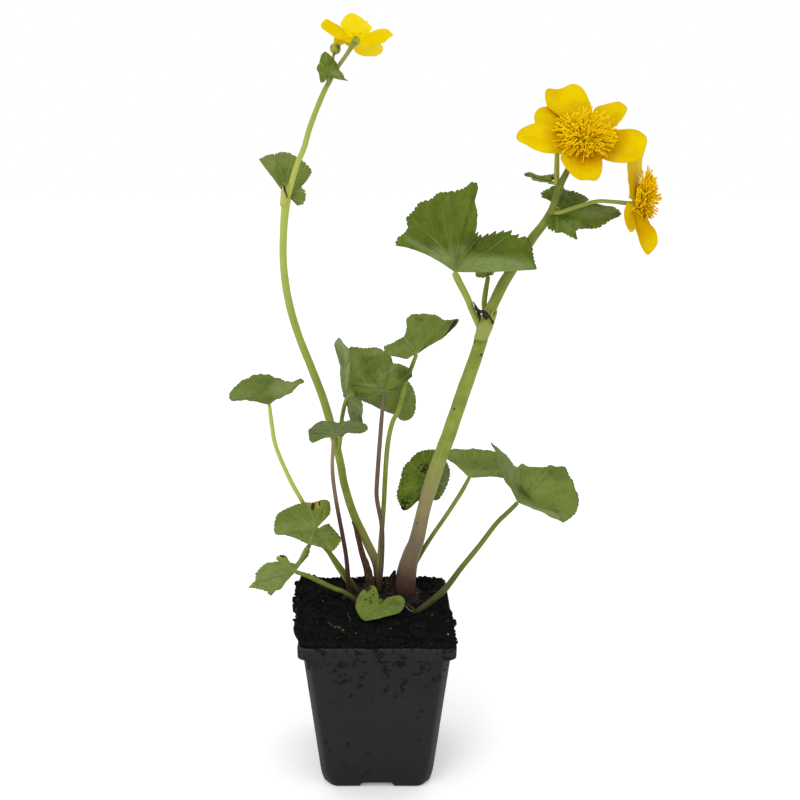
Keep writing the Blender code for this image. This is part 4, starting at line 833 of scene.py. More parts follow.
def skin(columns, rows, place):
    """A grid whose points go to place(across, up), both 0 to 1, and keep that pair as UV."""
    made = bmesh.new()
    made.loops.layers.uv.new("along")
    bmesh.ops.create_grid(made, x_segments=columns, y_segments=rows, size=0.5, calc_uvs=True)
    for vert in made.verts:
        vert.co = place(vert.co.x + 0.5, vert.co.y + 0.5)
    bmesh.ops.remove_doubles(made, verts=made.verts, dist=0.004)
    bmesh.ops.recalc_face_normals(made, faces=made.faces)
    return made


def carry(bm, **numbers):
    """Keep numbers at the points of a mesh: plain ones, or worked out from a point."""
    for name, number in numbers.items():
        layer = bm.verts.layers.float.new(name)
        for vert in bm.verts:
            vert[layer] = number(vert.co) if callable(number) else number


def settle(name, bm, finishes, slot, *nodes, smooth=True):
    """Make a bmesh, in millimetres, a piece that rides on the plant and stands for its nodes."""
    bmesh.ops.translate(bm, vec=POT_PLACE, verts=bm.verts)
    bmesh.ops.scale(bm, vec=(MM, MM, MM), verts=bm.verts)
    mesh = bpy.data.meshes.new(name)
    bm.to_mesh(mesh)
    bm.free()
    for finish in finishes:
        mesh.materials.append(finish)
    if smooth:
        mesh.shade_smooth()
    piece = bpy.data.objects.new(name, mesh)
    bpy.context.collection.objects.link(piece)
    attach(piece, "root")
    if nodes:
        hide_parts(*nodes)
    return piece


def thicken(piece, thickness, second=0):
    """Give a sheet its thickness; second is how many slots on its other face's finish is."""
    wall = piece.modifiers.new("Thickness", "SOLIDIFY")
    wall.thickness = thickness * MM
    wall.offset = 0.0
    wall.material_offset = second
    return piece


def stations(line, rows):
    """Places, radii and steady cross directions along a line, with its ends pinched shut."""
    pinch = min(0.02, 0.3 / line.length)
    shares = [0.0, pinch, *[step / (rows - 2) for step in range(1, rows - 2)], 1 - pinch, 1.0]
    onward = (line.at(0.01) - line.at(0.0)).to_3d().normalized()
    side = onward.orthogonal().normalized()
    made = []
    for number, share in enumerate(shares):
        here = line.at(share)
        ahead = (line.at(share + 0.01) - line.at(share - 0.01)).to_3d().normalized()
        side = (side - ahead * side.dot(ahead)).normalized()
        radius = 0.0 if number in (0, len(shares) - 1) else here[3]
        made.append((here.to_3d(), radius, side.copy(), ahead.cross(side)))
    return made


def tube(route, sides=20, rows=40, ribs=0, rib=0.0, lumps=0.0):
    """A closed tube along a route of x, y, z and radius, ribbed and a little uneven."""
    line = Line(route)
    places = stations(line, rows)

    def place(around, up):
        centre, radius, side, other = places[round(up * rows)]
        angle = math.tau * around
        grooves = 1 + rib * math.cos(ribs * angle)
        way = side * math.cos(angle) + other * math.sin(angle)
        uneven = 1 + lumps * noise.noise(centre * 0.12 + way)
        return centre + way * radius * grooves * uneven

    return skin(sides, rows, place), line


def share_along(line, point):
    """How far along a line the nearest of its points is."""
    distances = [(mark.to_3d() - point).length for mark in line.chain]
    return line.marks[distances.index(min(distances))] / line.length


def stepped(stops, share):
    """A value between stops of share and value."""
    for (low, before), (high, after) in zip(stops, stops[1:]):
        if share < high:
            return before + (after - before) * max(0.0, share - low) / (high - low)
    return stops[-1][1]


def oval(point, across, height, wide, tall, turn):
    """1 in the middle of an oval seen from the front, falling to 0 past its edge."""
    x, z = point.x - across, point.z - height
    lean = math.radians(turn)
    along = (x * math.cos(lean) + z * math.sin(lean)) / wide
    off = (z * math.cos(lean) - x * math.sin(lean)) / tall
    return math.exp(-(along ** 2 + off ** 2) ** 2)


def make_stem(name, stem, finish):
    """A faintly ribbed stem with its colour running from purple foot to green."""
    bm, line = tube(stem["route"], 36, 140, 11, 0.018, 0.05)
    blush, climb = stem["blush"], stem.get("climb", [(0.0, stem.get("tone", 0.0))])
    scars = stem.get("scars", [])
    carry(
        bm, tone=lambda point: stepped(climb, share_along(line, point)),
        blush=lambda point: stepped(blush, share_along(line, point)),
        scar=lambda point: sum(oval(point, *scar) for scar in scars),
        foot=lambda point: 0.4 * max(0.0, 1 - share_along(line, point) / 0.08) * (point.z < 125))
    return settle(name + "_ribbed", bm, [finish], "stem", name)


def tooth_notch(place):
    """The outline's cut between teeth, 0 on a tooth and 1 in the notch."""
    return (2 * abs(place % 1.0 - 0.5)) ** 3


def blade(name, leaf):
    """A leaf's blade: a fan of veins to its rim, bulged, pleated and crumpled, toothed at the rim, with its own
    marks of stains, painted sheen and painted shade."""
    looks = BLADE_LOOKS[name]
    root = Vector(leaf["stalk"][-1][:3])
    rim = Line(leaf["rim"], leaf.get("closed", False))
    facing = Vector((0.0, 0.0, 0.0))
    for near, far in zip(rim.chain, rim.chain[1:]):
        facing += near.cross(far)
    facing.normalize()
    if facing.z < 0:
        facing.negate()
    swells = [mark[1:] for mark in looks["marks"] if mark[0] == "swell"]
    bow = looks.get("bow", [(0.0, 0.0)])
    sharp_from, sharp_to = looks.get("points", (2.0, 2.0))
    veins = looks.get("veins", MAIN_VEINS)
    teeth = round(rim.length / TOOTH)
    depth = leaf.get("teeth", looks.get("teeth", TOOTH_DEPTH))
    columns = max(96, teeth * 7)
    seed = Vector((len(name) * 3.1, root.x * 0.37, root.z * 0.21))

    def reach_of(across):
        jitter = noise.noise(seed + Vector((across * teeth * 0.5, 0.0, 0.0)))
        if sharp_from < across < sharp_to:
            return rim.at(across), 3.2 * abs(2 * (across * teeth * 0.62 % 1.0) - 1) ** 1.1
        return rim.at(across), depth * (1 + 0.9 * jitter) * tooth_notch(across * teeth + 0.9 * jitter)

    rays = [reach_of(column / columns) for column in range(columns + 1)]

    def place(across, up):
        ray, cut = rays[round(across * columns)]
        length = max(0.5, ray.length)
        share = up ** 0.8
        near_rim = max(0.0, (share - 0.8) / 0.2) ** 2
        share *= 1 - min(0.3, cut / length) * near_rim
        spot = ray * share
        pleat = abs(math.cos(math.pi * veins * across)) * 1.1
        lift = 1.2 * math.sin(math.pi * share) + pleat * share ** 2 * (1.2 - share)
        lift += 1.6 * noise.noise(seed + ray * 0.09) * share ** 3
        lift += 1.8 * noise.noise(seed + spot * 0.13) * share
        lift += 0.9 * noise.noise(seed + spot * 0.28) * min(1.0, 2 * share)
        lift += 0.4 * noise.noise(seed + spot * 0.55) * min(1.0, 3 * share)
        lift += sum(size * oval(spot, *where) for *where, size in swells)
        spot.z += stepped(bow, across) * 4 * share * (1 - share)
        return root + spot + facing * lift

    bm = skin(columns, BLADE_ROWS, place)
    total = Vector((0.0, 0.0, 0.0))
    for face in bm.faces:
        total += face.normal * face.calc_area()
    if total.dot(facing) < 0:
        bmesh.ops.reverse_faces(bm, faces=bm.faces)
    carry(
        bm, tone=leaf["tone"], veins=float(veins), veined=looks.get("veined", 0.9), reach=lambda point: (point - root).length,
        wander=lambda point: 0.35 * noise.noise(seed + (point - root) * 0.07),
        pitch=lambda point: rim.length / veins * min(1.0, (point - root).length / 28.0))
    # Pale and grey marks carry painted sheen, dark marks painted shade, each partly the blade's own colour; old,
    # flecked and brown marks are its own stains.
    for kind in ("pale", "dark", "bright", "grey", "old", "flecked", "brown"):
        marks = [mark[1:] for mark in looks["marks"] if mark[0] == kind]
        carry(bm, **{kind: lambda point, marks=marks: max(
            [strength * oval(point - root, *where) for *where, strength in marks], default=0.0)})
    return bm


def make_leaf(name, leaf, finishes):
    """A leaf's blade and the stalk that carries it."""
    piece = settle(name + "_blade", blade(name, leaf), finishes[:2], "leaf", name)
    thicken(piece, BLADE_THICK, 1)
    root = leaf["stalk"][-1]
    stalk = [*leaf["stalk"][:-1], (*root[:3], root[3] * 0.9)]
    bm, line = tube(stalk, 20, 80, 7, 0.03, 0.04)
    blush = leaf.get("blush", [(0.0, 0.0)])
    foot = leaf.get("foot", 0.12) if leaf["stalk"][0][2] < 110 else 0.001
    carry(
        bm, tone=leaf.get("stalk_tone", 0.0), scar=0.0,
        foot=lambda point: max(0.0, 1 - share_along(line, point) / foot) ** 0.6,
        blush=lambda point: max(
            stepped(blush, share_along(line, point)), 0.2 - 0.2 * share_along(line, point) / foot))
    settle(name + "_stalk", bm, [finishes[2]], "stem", name)


def shoulder(ray, middle, out):
    """A place beside a petal's root, out to the side that the ray leans to."""
    side = ray - middle * ray.dot(middle)
    return ray * 0.4 + side.normalized() * out


def make_petal(name, joint, petal, warm, deep, forward, finish):
    """A petal: a smooth fan with broad shoulders at its root, gently bulged and cupped."""
    start = Vector(petal[0]) * 0.6
    rim = [Vector(point) - start for point in petal[1]]
    middle = sum(rim, Vector((0.0, 0.0, 0.0))).normalized()
    line = Line([shoulder(rim[0], middle, 2.6), *rim, shoulder(rim[-1], middle, 2.6)])
    facing = Vector((0.0, 0.0, 0.0))
    for near, far in zip(line.chain, line.chain[1:]):
        facing += near.cross(far)
    facing.normalize()

    def place(across, up):
        ray = line.at(across)
        share = up ** 0.85
        cup = 1.1 * math.sin(math.pi * share) * math.sin(math.pi * across)
        ripple = 0.5 * share ** 2 * noise.noise(ray * 0.25 + joint)
        return joint + start + ray * share + facing * (cup + ripple) + forward * (1 - share)

    bm = skin(PETAL_COLUMNS, PETAL_ROWS, place)
    carry(bm, reach=lambda point: (point - joint - start).length, warm=warm, deep=deep)
    return thicken(settle(name + "_silky", bm, [finish], "petal", name), PETAL_THICK)


def add_to(bm, other):
    """Put one bmesh into another."""
    holder = bpy.data.meshes.new("holder")
    other.to_mesh(holder)
    other.free()
    bm.from_mesh(holder)
    bpy.data.meshes.remove(holder)


def make_tuft(name, flower, finish, pods):
    """A dense dome of stamens, each a thread with its pollen head, on an orange cushion."""
    rng = random.Random(name)
    joint = flower["joint"]
    base = joint + flower.get("shift", Vector())
    facing = flower["faces"].normalized()
    turn = UP.rotation_difference(facing)
    wide, high, deep, lift = flower["tuft"]
    size = wide / 14.4
    bm = bmesh.new()
    bm.verts.layers.float.new("tint")
    for number in range(flower["stamens"]):
        share = (number + 0.5) / flower["stamens"]
        lean = math.acos(1 - flower.get("spread", 0.99) * share) + rng.uniform(-0.3, 0.3)
        turned = number * 2.39996 + rng.uniform(-0.7, 0.7)
        way = Vector((math.sin(lean) * math.cos(turned), math.sin(lean) * math.sin(turned), math.cos(lean)))
        stretch = rng.choice((rng.uniform(0.84, 1.04), rng.uniform(0.5, 0.88)))
        tip = Vector((
            way.x * wide, way.y * high, lift + way.z * deep - 2.0 * size * (1 - way.z))) * stretch
        foot = Vector((way.x * 4.2, way.y * 4.2, 1.2 + way.z * 1.8)) * size
        middle = foot.lerp(tip, 0.5) + Vector((0.0, 0.0, 1.6 * math.sin(lean) * rng.uniform(0.4, 1.2)))
        clump = noise.noise_vector(tip * 0.3 + joint) * 2.6 * size
        for spot, most in ((middle, 0.7), (tip, 0.9)):
            spot += Vector([rng.uniform(-most, most) for _ in range(3)]) * size
            spot += clump * (0.4 if spot is middle else 1.0)
        places = [base + turn @ spot for spot in (foot, middle, tip)]
        thread, _ = tube([(*spot, around) for spot, around in zip(places, (0.36, 0.34, 0.3))], 4, 5)
        # Painted shade: deeper orange on stamens that point downward, and over the whole side tuft.
        painted_stamen_shade = flower.get("painted_stamen_shade", 0.0) + 1.3 * max(0.0, -(turn @ way).z)
        carry(thread, tint=painted_stamen_shade + rng.uniform(0.0, 0.4))
        onward = (places[2] - places[1]).normalized()
        head = bmesh.new()
        length = rng.uniform(0.8, 1.3)
        spin = Matrix.Rotation(rng.uniform(0, math.tau), 4, "Z")
        aim = UP.rotation_difference(onward).to_matrix().to_4x4()
        place = Matrix.Translation(places[2] + onward * length * 0.5)
        bmesh.ops.create_icosphere(
            head, subdivisions=1, radius=1.0,
            matrix=place @ aim @ spin @ Matrix.Diagonal((0.46, 0.38, length, 1.0)))
        carry(head, tint=painted_stamen_shade + rng.choice((rng.uniform(0.0, 0.4), rng.uniform(0.2, 0.9))))
        add_to(bm, thread)
        add_to(bm, head)

    def cushion(around, up):
        rise = math.pi / 2 * up
        out = 6.0 * size * math.cos(rise) * (1 + 0.06 * math.sin(math.tau * around * 17))
        angle = math.tau * around
        return base + turn @ Vector((
            out * math.cos(angle), out * math.sin(angle), 0.2 + 5.4 * size * math.sin(rise)))

    mound = skin(68, 10, cushion)
    carry(mound, tint=0.9)
    add_to(bm, mound)
    settle(name + "_threads", bm, [finish], "stamens", name + "_stamens")
    middle, _ = tube([
        (*(joint - facing * 1.6), 1.1), (*(joint - facing * 0.8), 1.5), (*(joint - facing * 0.1), 2.5),
        (*(joint + facing * 0.8), 2.3)], 16, 16)
    for number in range(7):
        angle = number * math.tau / 7
        foot = Vector((1.3 * math.cos(angle), 1.3 * math.sin(angle), 1.0))
        tip = foot * 1.2 + Vector((0.0, 0.0, 4.6))
        spots = [foot, foot.lerp(tip, 0.6), tip]
        pod, _ = tube([(*(joint + turn @ s), r) for s, r in zip(spots, (0.8, 0.75, 0.2))], 8, 10)
        add_to(middle, pod)
    carry(middle, old=0.0)
    settle(name + "_pods", middle, [pods], "stamens", name + "_stamens")


def make_bud(name, route, radii, finish):
    """A closed bud of five folded sepals on its stalk."""
    tip = Vector(route[-1][:3])
    onward = (tip - Vector(route[-2][:3])).normalized()
    middle = tip + onward * radii[1] * 0.8
    turn = UP.rotation_difference(onward)

    def place(around, up):
        height = math.pi * up
        angle = math.tau * around + 0.8 * up
        folds = 1 + 0.09 * abs(math.sin(2.5 * angle)) * math.sin(height)
        local = Vector((
            math.cos(angle) * math.sin(height) * radii[0] * folds,
            math.sin(angle) * math.sin(height) * radii[0] * folds,
            -math.cos(height) * radii[1]))
        return middle + turn @ local

    bm = skin(40, 22, place)
    stalk, _ = tube(route, 14, 20)
    add_to(bm, stalk)
    carry(bm, old=lambda point: ((point - middle).length < radii[1] * 1.12) * max(
        0.0, 1.4 * noise.noise(point * 0.4 + tip)))
    settle(name + "_folded", bm, [finish], "stem", name)


def square_place(around, width, corner, height):
    """A place round a square with rounded corners, by share of its outline."""
    quarter = int(around * 4) % 4
    part = around * 4 % 1.0
    flat = width / 2 - corner
    turned = math.pi / 2 * quarter
    arc = 0.45
    if part < arc:
        angle = math.pi / 2 * part / arc
        spot = Vector((flat + corner * math.cos(angle), flat + corner * math.sin(angle), height))
    else:
        along = (part - arc) / (1 - arc)
        spot = Vector((flat - 2 * flat * along, flat + corner, height))
    return Matrix.Rotation(turned, 3, "Z") @ spot


def pierced(bm, spots, radius, depth):
    """The same mesh with round holes cut straight through its floor."""
    made = []
    for name, source in (("shell", bm), ("holes", bmesh.new())):
        if name == "holes":
            for x, y in spots:
                bmesh.ops.create_cone(
                    source, cap_ends=True, segments=40, radius1=radius, radius2=radius, depth=depth,
                    matrix=Matrix.Translation((x, y, depth / 4)))
        mesh = bpy.data.meshes.new(name)
        source.to_mesh(mesh)
        source.free()
        solid = bpy.data.objects.new(name, mesh)
        bpy.context.collection.objects.link(solid)
        made.append(solid)
    shell, holes = made
    cut = shell.modifiers.new("Holes", "BOOLEAN")
    cut.operation = "DIFFERENCE"
    cut.solver = "EXACT"
    cut.object = holes
    result = bmesh.new()
    result.from_object(shell, bpy.context.evaluated_depsgraph_get())
    for solid in made:
        mesh = solid.data
        bpy.data.objects.remove(solid)
        bpy.data.meshes.remove(mesh)
    return result


def make_pot(finish):
    """The pot's shell, from the middle of its underside over its lip to its inner floor."""
    neck = POT_HEIGHT - LIP_HEIGHT - LIP_STEP
    recess = BASE_WIDTH - 2 * FOOT_WALL
    inner_neck = NECK_WIDTH - 2 * WALL
    inner_foot = BASE_WIDTH + (NECK_WIDTH - BASE_WIDTH) * FLOOR_TOP / neck - 2 * WALL
    lip_foot = POT_HEIGHT - LIP_HEIGHT
    profile = [
        (0.01, 0.004, FLOOR_UNDER), (recess - 1.0, 4.5, FLOOR_UNDER), (recess, 5.0, FLOOR_UNDER - 0.4),
        (recess, 5.0, 0.4), (recess + 0.6, 5.4, 0.0), (BASE_WIDTH - 3.4, 8.0, 0.0),
        (BASE_WIDTH - 1.8, 9.0, 0.4), (BASE_WIDTH - 0.7, 9.6, 1.3), (BASE_WIDTH, 9.6, 2.8),
        (BASE_WIDTH + 1.0, 9.2, 5.5), (BASE_WIDTH + 2.1, 8.4, 10.0),
        (BASE_WIDTH + 4.0, 7.6, neck * 0.22), (BASE_WIDTH + 9.2, 7.6, neck * 0.5),
        (NECK_WIDTH - 0.8, 7.4, neck - 4.0), (NECK_WIDTH, WALL_CORNER, neck),
        (RIM_WIDTH - 1.2, RIM_CORNER + 0.3, lip_foot - 0.3), (RIM_WIDTH - 0.3, RIM_CORNER, lip_foot + 0.2),
        (RIM_WIDTH - 0.1, RIM_CORNER, lip_foot + 1.2), (RIM_WIDTH, RIM_CORNER, POT_HEIGHT - 0.9),
        (RIM_WIDTH - 0.4, RIM_CORNER, POT_HEIGHT - 0.2), (RIM_WIDTH - 1.2, RIM_CORNER, POT_HEIGHT),
        (RIM_WIDTH - 2.6, RIM_CORNER - 0.6, POT_HEIGHT), (RIM_WIDTH - 3.4, RIM_CORNER - 1.0, POT_HEIGHT - 0.5),
        (RIM_WIDTH - 4.0, RIM_CORNER - WALL, lip_foot + 1.5), (inner_neck, WALL_CORNER - WALL, neck),
        (inner_foot, WALL_CORNER - WALL, FLOOR_TOP + 1.0), (inner_foot - 2.0, WALL_CORNER - 2.0, FLOOR_TOP),
        (0.01, 0.004, FLOOR_TOP)]
    columns = 4 * 40

    def place(around, up):
        spot = square_place(around, *profile[round(up * (len(profile) - 1))])
        off_middle = min(abs(spot.x), abs(spot.y))
        if max(abs(spot.x), abs(spot.y)) > 20:
            if spot.z < FLOOR_UNDER:
                raised = 1 - min(1.0, max(0.0, (off_middle - NOTCH_HALF + 0.6) / 1.2))
                spot.z = spot.z + (FLOOR_UNDER - 0.1 - spot.z) * raised
            if spot.z < 10.0:
                spot.z += 2.2 * max(0.0, (off_middle - 24.0) / 8.0) ** 2 * (1 - spot.z / 10.0)
        return spot

    # Painted highlight: 1 down the rounded corners, fading towards the base, and along the top edge of the lip.
    def worn(point):
        across, along = sorted((abs(point.x), abs(point.y)))
        corner = max(0.0, min(1.0, (across / max(1.0, along) - 0.88) / 0.08))
        lip = max(0.0, 1 - abs(point.z - POT_HEIGHT + 0.3) / 0.7)
        return max(corner * (point.z < neck) * min(1.0, point.z / 25), lip)

    drains = [(0.0, 0.0)]
    for turned in range(4):
        angle = math.pi / 4 + math.pi / 2 * turned
        drains.append((DRAIN_REACH * math.cos(angle), DRAIN_REACH * math.sin(angle)))
    bm = pierced(skin(columns, len(profile) - 1, place), drains, DRAIN_RADIUS, 20.0)
    carry(bm, worn=worn)
    piece = settle("pot_shell", bm, [finish], "pot", "pot")
    piece.data.set_sharp_from_angle(angle=math.radians(38))
    return piece


def soil_height(x, y):
    """The lumpy top of the compost: up on the rim all round, higher where it spills left."""
    bumps = noise.noise(Vector((x * 0.09, y * 0.09, 3.1)))
    bumps += 0.7 * noise.noise(Vector((x * 0.2, y * 0.2, 7.7)))
    fine = 0.9 * noise.noise(Vector((x * 0.45, y * 0.45, 1.3)))
    fine += 0.5 * noise.noise(Vector((x * 1.1, y * 1.1, 5.9)))
    fine += 0.25 * noise.noise(Vector((x * 2.6, y * 2.6, 2.2)))
    spill = max(0.0, min(1.0, (-34.0 - x) / 8.0)) * max(0.0, min(1.0, (y + 34.0) / 12.0))
    level = SOIL_LEVEL + 1.5 * bumps + 2.8 * spill + fine
    share = max(0.0, min(1.0, (max(abs(x), abs(y)) / (RIM_WIDTH / 2) - 0.86) / 0.08))
    return level + share * (max(level, POT_HEIGHT + 0.7 + 0.5 * bumps + fine * 0.8) - level)


def soil_spot(across, along):
    """The place on the compost's outline square, -1 to 1 each way, widened where it spills."""
    inner = RIM_WIDTH / 2 - 1.3
    ragged = 1.1 * noise.noise(Vector((across * 6, along * 6, 4.4)))
    ragged += 0.8 * noise.noise(Vector((across * 17, along * 17, 9.1)))
    y = along * (inner + ragged * 0.9)
    reach = inner + ragged
    if across < 0:
        reach += stepped(SOIL_SPILL, y)
    else:
        reach += max(0.0, min(1.6, (10.0 - y) / 14.0))
    x = across * reach
    rounding = 1.0 - 0.025 * (across * along) ** 8
    return x * rounding, y * rounding


def crumb(bm, spot, size, rng, layer, value, rounds=1):
    """Add a rough little lump to a mesh, carrying a number."""
    turn = Matrix.Rotation(rng.uniform(0, math.tau), 4, Vector((
        rng.uniform(-1, 1), rng.uniform(-1, 1), rng.uniform(-1, 1))))
    shape = Matrix.Diagonal((size, size * rng.uniform(0.6, 1), size * rng.uniform(0.45, 0.9), 1))
    made = bmesh.ops.create_icosphere(
        bm, subdivisions=rounds, radius=1.0, matrix=Matrix.Translation(spot) @ turn @ shape)["verts"]
    for vert in made:
        vert.co += Vector([rng.uniform(-1, 1) for _ in range(3)]) * size * 0.13
        vert[layer] = value


def make_soil(finish):
    """The compost's heaped top with crumbs all over it, and the plug that fills the pot."""
    def place(across, along):
        side, back = across * 2 - 1, along * 2 - 1
        x, y = soil_spot(side, back)
        edge = max(abs(side), abs(back))
        drop = max(0.0, (edge - 0.95) / 0.05) ** 2 * (0.7 if side > -0.9 else 2.6)
        return Vector((x, y, soil_height(x, y) - drop))

    bm = skin(190, 190, place)
    for inward, height in ((0.0, POT_HEIGHT + 0.05), (3.4, POT_HEIGHT + 0.05), (0.6, 92.0)):
        border = [edge for edge in bm.edges if edge.is_boundary]
        made = bmesh.ops.extrude_edge_only(bm, edges=border)["geom"]
        for vert in [part for part in made if isinstance(part, bmesh.types.BMVert)]:
            most = max(abs(vert.co.x), abs(vert.co.y))
            inner = RIM_WIDTH / 2 - inward if inward else most - 0.15
            if inward:
                vert.co.x *= min(1.0, inner / most)
                vert.co.y *= min(1.0, inner / most)
            vert.co.z = min(vert.co.z, height) if inward else height
    bmesh.ops.holes_fill(bm, edges=[edge for edge in bm.edges if edge.is_boundary], sides=0)
    bmesh.ops.recalc_face_normals(bm, faces=bm.faces)
    carry(bm, pale=0.0)
    settle("compost_top", bm, [finish], "soil", "soil")
    rng = random.Random(5)
    crumbs = bmesh.new()
    pale = crumbs.verts.layers.float.new("pale")
    for number in range(3000):
        side, back = rng.uniform(-1, 1), rng.uniform(-1, 1)
        if number % 3 == 0:
            side, back = rng.choice((
                (-rng.uniform(0.9, 1.0), back), (rng.uniform(0.93, 1.0), back),
                (side, rng.uniform(0.93, 1.0)), (side, -rng.uniform(0.93, 1.0))))
        x, y = soil_spot(side, back)
        size = 0.35 + 1.5 * rng.random() ** 4
        sunk = 0.5 * (abs(side) > 0.96)
        crumb(
            crumbs, (x, y, soil_height(x, y) + size * 0.15 - sunk), size, rng, pale,
            1.0 if rng.random() < 0.02 else 0.0)
    settle("compost_crumbs", crumbs, [finish], "soil", smooth=False)


def on_soil(x, y, up=0.3):
    """A place on the compost."""
    return Vector((x, y, soil_height(x, y) + up))


def make_scraps(finish):
    """Roots, straw, a pebble and pale grit lying on the compost."""
    rng = random.Random(21)
    bm = bmesh.new()
    tint = bm.verts.layers.float.new("tint")
    threads = [
        ([(-16.0, -0.2), (-17.9, -3.5), (-17.2, -6.8), (-15.9, -10.0), (-16.6, -13.4)], 0.2, 0.62),
        ([(-29.3, -14.8), (-27.6, -17.6), (-25.2, -19.9)], 0.4, 0.3),
        ([(18.4, 8.0), (20.6, 4.4), (23.4, 0.2)], 0.7, 0.5),
        ([(17.6, 6.4), (19.8, 2.2), (22.6, -0.8)], 0.4, 0.75),
        ([(22.4, -0.6), (24.6, -1.6), (27.0, -1.0)], 0.5, 0.3)]
    for number in range(15):
        x, y, way = rng.uniform(-38, 38), rng.uniform(-38, 36), rng.uniform(0, math.tau)
        bend = rng.uniform(-1.2, 1.2)
        reach = rng.uniform(1.5, 4.0)
        threads.append(([
            (x, y), (x + reach * math.cos(way), y + reach * math.sin(way)),
            (x + reach * 1.8 * math.cos(way + bend), y + reach * 1.8 * math.sin(way + bend))],
            rng.uniform(0.12, 0.26), rng.uniform(0.0, 0.35)))
    for spots, size, value in threads:
        route = [(*on_soil(x, y, size * 0.8 + rng.uniform(0.0, 0.5)), size) for x, y in spots]
        thread, _ = tube(route, 6, 12, 2, 0.1, 0.3)
        carry(thread, tint=value)
        add_to(bm, thread)
    for x, y, size, value in (
            (-24.8, -18.4, 1.3, 0.62), (-22.4, -19.8, 1.4, 0.58), (-20.0, -22.0, 1.0, 0.66),
            (-34.3, 12.2, 0.5, 1.0), (-29.3, 7.6, 0.5, 1.0), (-22.2, -31.3, 0.6, 1.0),
            (41.3, -29.0, 0.6, 1.0), (25.6, 22.3, 0.5, 1.0), (30.6, -2.7, 0.5, 1.0),
            (-12.0, -27.0, 0.35, 1.0), (8.0, -22.0, 0.3, 0.9), (35.0, 12.0, 0.4, 0.9)):
        crumb(bm, on_soil(x, y), size, rng, tint, value, 2)
    settle("soil_scraps", bm, [finish], "soil")


def make_crown(finish, sheath, scraps):
    """The rootstock, old leaf sheaths round the stems' feet, and bits of dry leaf on them."""
    def place(around, up):
        height, angle = math.pi * up, math.tau * around
        way = Vector((
            math.cos(angle) * math.sin(height), math.sin(angle) * math.sin(height), -math.cos(height)))
        lump = 1 + 0.12 * noise.noise(way * 2.6 + Vector((4.0, 1.0, 2.0)))
        lump += 0.10 * noise.noise(way * 7.0) + 0.05 * noise.noise(way * 19.0)
        return CROWN_CENTRE + Vector([axis * reach * lump for axis, reach in zip(way, CROWN_REACH)])

    settle("crown_rough", skin(110, 60, place), [finish], "crown", "crown")
    rng = random.Random(11)
    strips = bmesh.new()
    for number in range(52):
        x, y = rng.choice(((1, 31), (17, 25), (3, 21), (-12, 27), (8, 24), (16, 25), (8, 22), (-3, 24)))
        angle = rng.uniform(0, math.tau)
        out = rng.uniform(2.0, 7.0)
        way = Vector((math.cos(angle), math.sin(angle), 0.0))
        tall = rng.uniform(1.5, 6.5)
        spot = Vector((x, y, 99.0)) + way * out
        route = [
            (*spot, rng.uniform(0.7, 1.5)),
            (*(spot + UP * tall * 0.6 + way * rng.uniform(-0.6, 0.8)), rng.uniform(0.5, 1.0)),
            (*(spot + UP * tall + way * rng.uniform(-1.5, 2.5)), 0.25)]
        strip, _ = tube(route, 8, 10, 3, 0.3, 0.3)
        add_to(strips, strip)
    for route in (
            [(5.0, 24.0, 98, 1.9), (5.6, 23.5, 105, 1.6), (6.2, 23.0, 110, 0.9), (6.4, 23.0, 112, 0.3)],
            [(8.0, 22.6, 98, 2.0), (8.6, 22.4, 103, 1.7), (9.4, 22.4, 107.4, 0.9), (9.8, 22.4, 109, 0.3)],
            [(3.4, 24.5, 98, 1.5), (2.6, 24.0, 104, 1.3), (3.0, 24.0, 108, 0.4)]):
        strip, _ = tube(route, 14, 24, 4, 0.25, 0.5)
        add_to(strips, strip)
    settle("crown_sheaths", strips, [sheath], "crown", "crown")
    bits = bmesh.new()
    tint = bits.verts.layers.float.new("tint")
    for x, z, size, value in (
            (5.6, 109.6, 0.8, 0.35), (6.6, 107.6, 0.7, 0.6), (4.3, 107.8, 0.6, 0.5), (9.4, 106.6, 0.5, 0.85),
            (8.8, 104.0, 0.7, 0.45), (7.5, 101.0, 0.5, 0.75), (2.9, 103.6, 0.8, 0.3), (5.4, 102.8, 0.8, 0.5),
            (9.8, 101.6, 0.7, 0.35), (6.4, 105.0, 0.45, 0.65), (8.0, 107.9, 0.6, 0.4)):
        crumb(bits, (x, 21.3, z), size * 1.2, rng, tint, value, 2)
    for number in range(16):
        x, y = rng.uniform(-12, 20), rng.uniform(13, 22)
        way = rng.uniform(0, math.tau)
        reach = rng.uniform(1.5, 4.0)
        route = [
            (x, y, 102.6, 0.35), (x + reach * math.cos(way), y + reach * math.sin(way), 103.4, 0.45),
            (x + 2 * reach * math.cos(way + 0.5), y + 2 * reach * math.sin(way + 0.5), 102.2, 0.2)]
        thread, _ = tube(route, 6, 10, 2, 0.1, 0.4)
        carry(thread, tint=rng.uniform(0.0, 0.4))
        add_to(bits, thread)
    settle("crown_bits", bits, [scraps], "crown")


def make_sheath(name, route, start, arc, ragged, finishes, slot, tone=0.0):
    """A thin sheath hugging part of a stem: from start round by arc degrees, 270 to the front."""
    line = Line(route)

    def place(around, up):
        angle = math.radians(start + arc * around)
        torn = ragged * noise.noise(Vector((around * 9.0, route[0][0], 0.5))) * up ** 2
        spot = line.at(up * 0.86 + torn)
        loose = 1 + 0.12 * noise.noise(Vector((around * 5.0, up * 4.0, route[0][2])))
        out = spot[3] * loose * math.sin(math.pi * (0.12 + 0.76 * around)) ** 0.25
        return spot.to_3d() + Vector((math.cos(angle), math.sin(angle), 0.0)) * out

    bm = skin(36, 20, place)
    carry(bm, tone=tone, blush=0.1, scar=0.0, foot=0.0)
    return thicken(settle(name, bm, finishes, slot), 0.3)


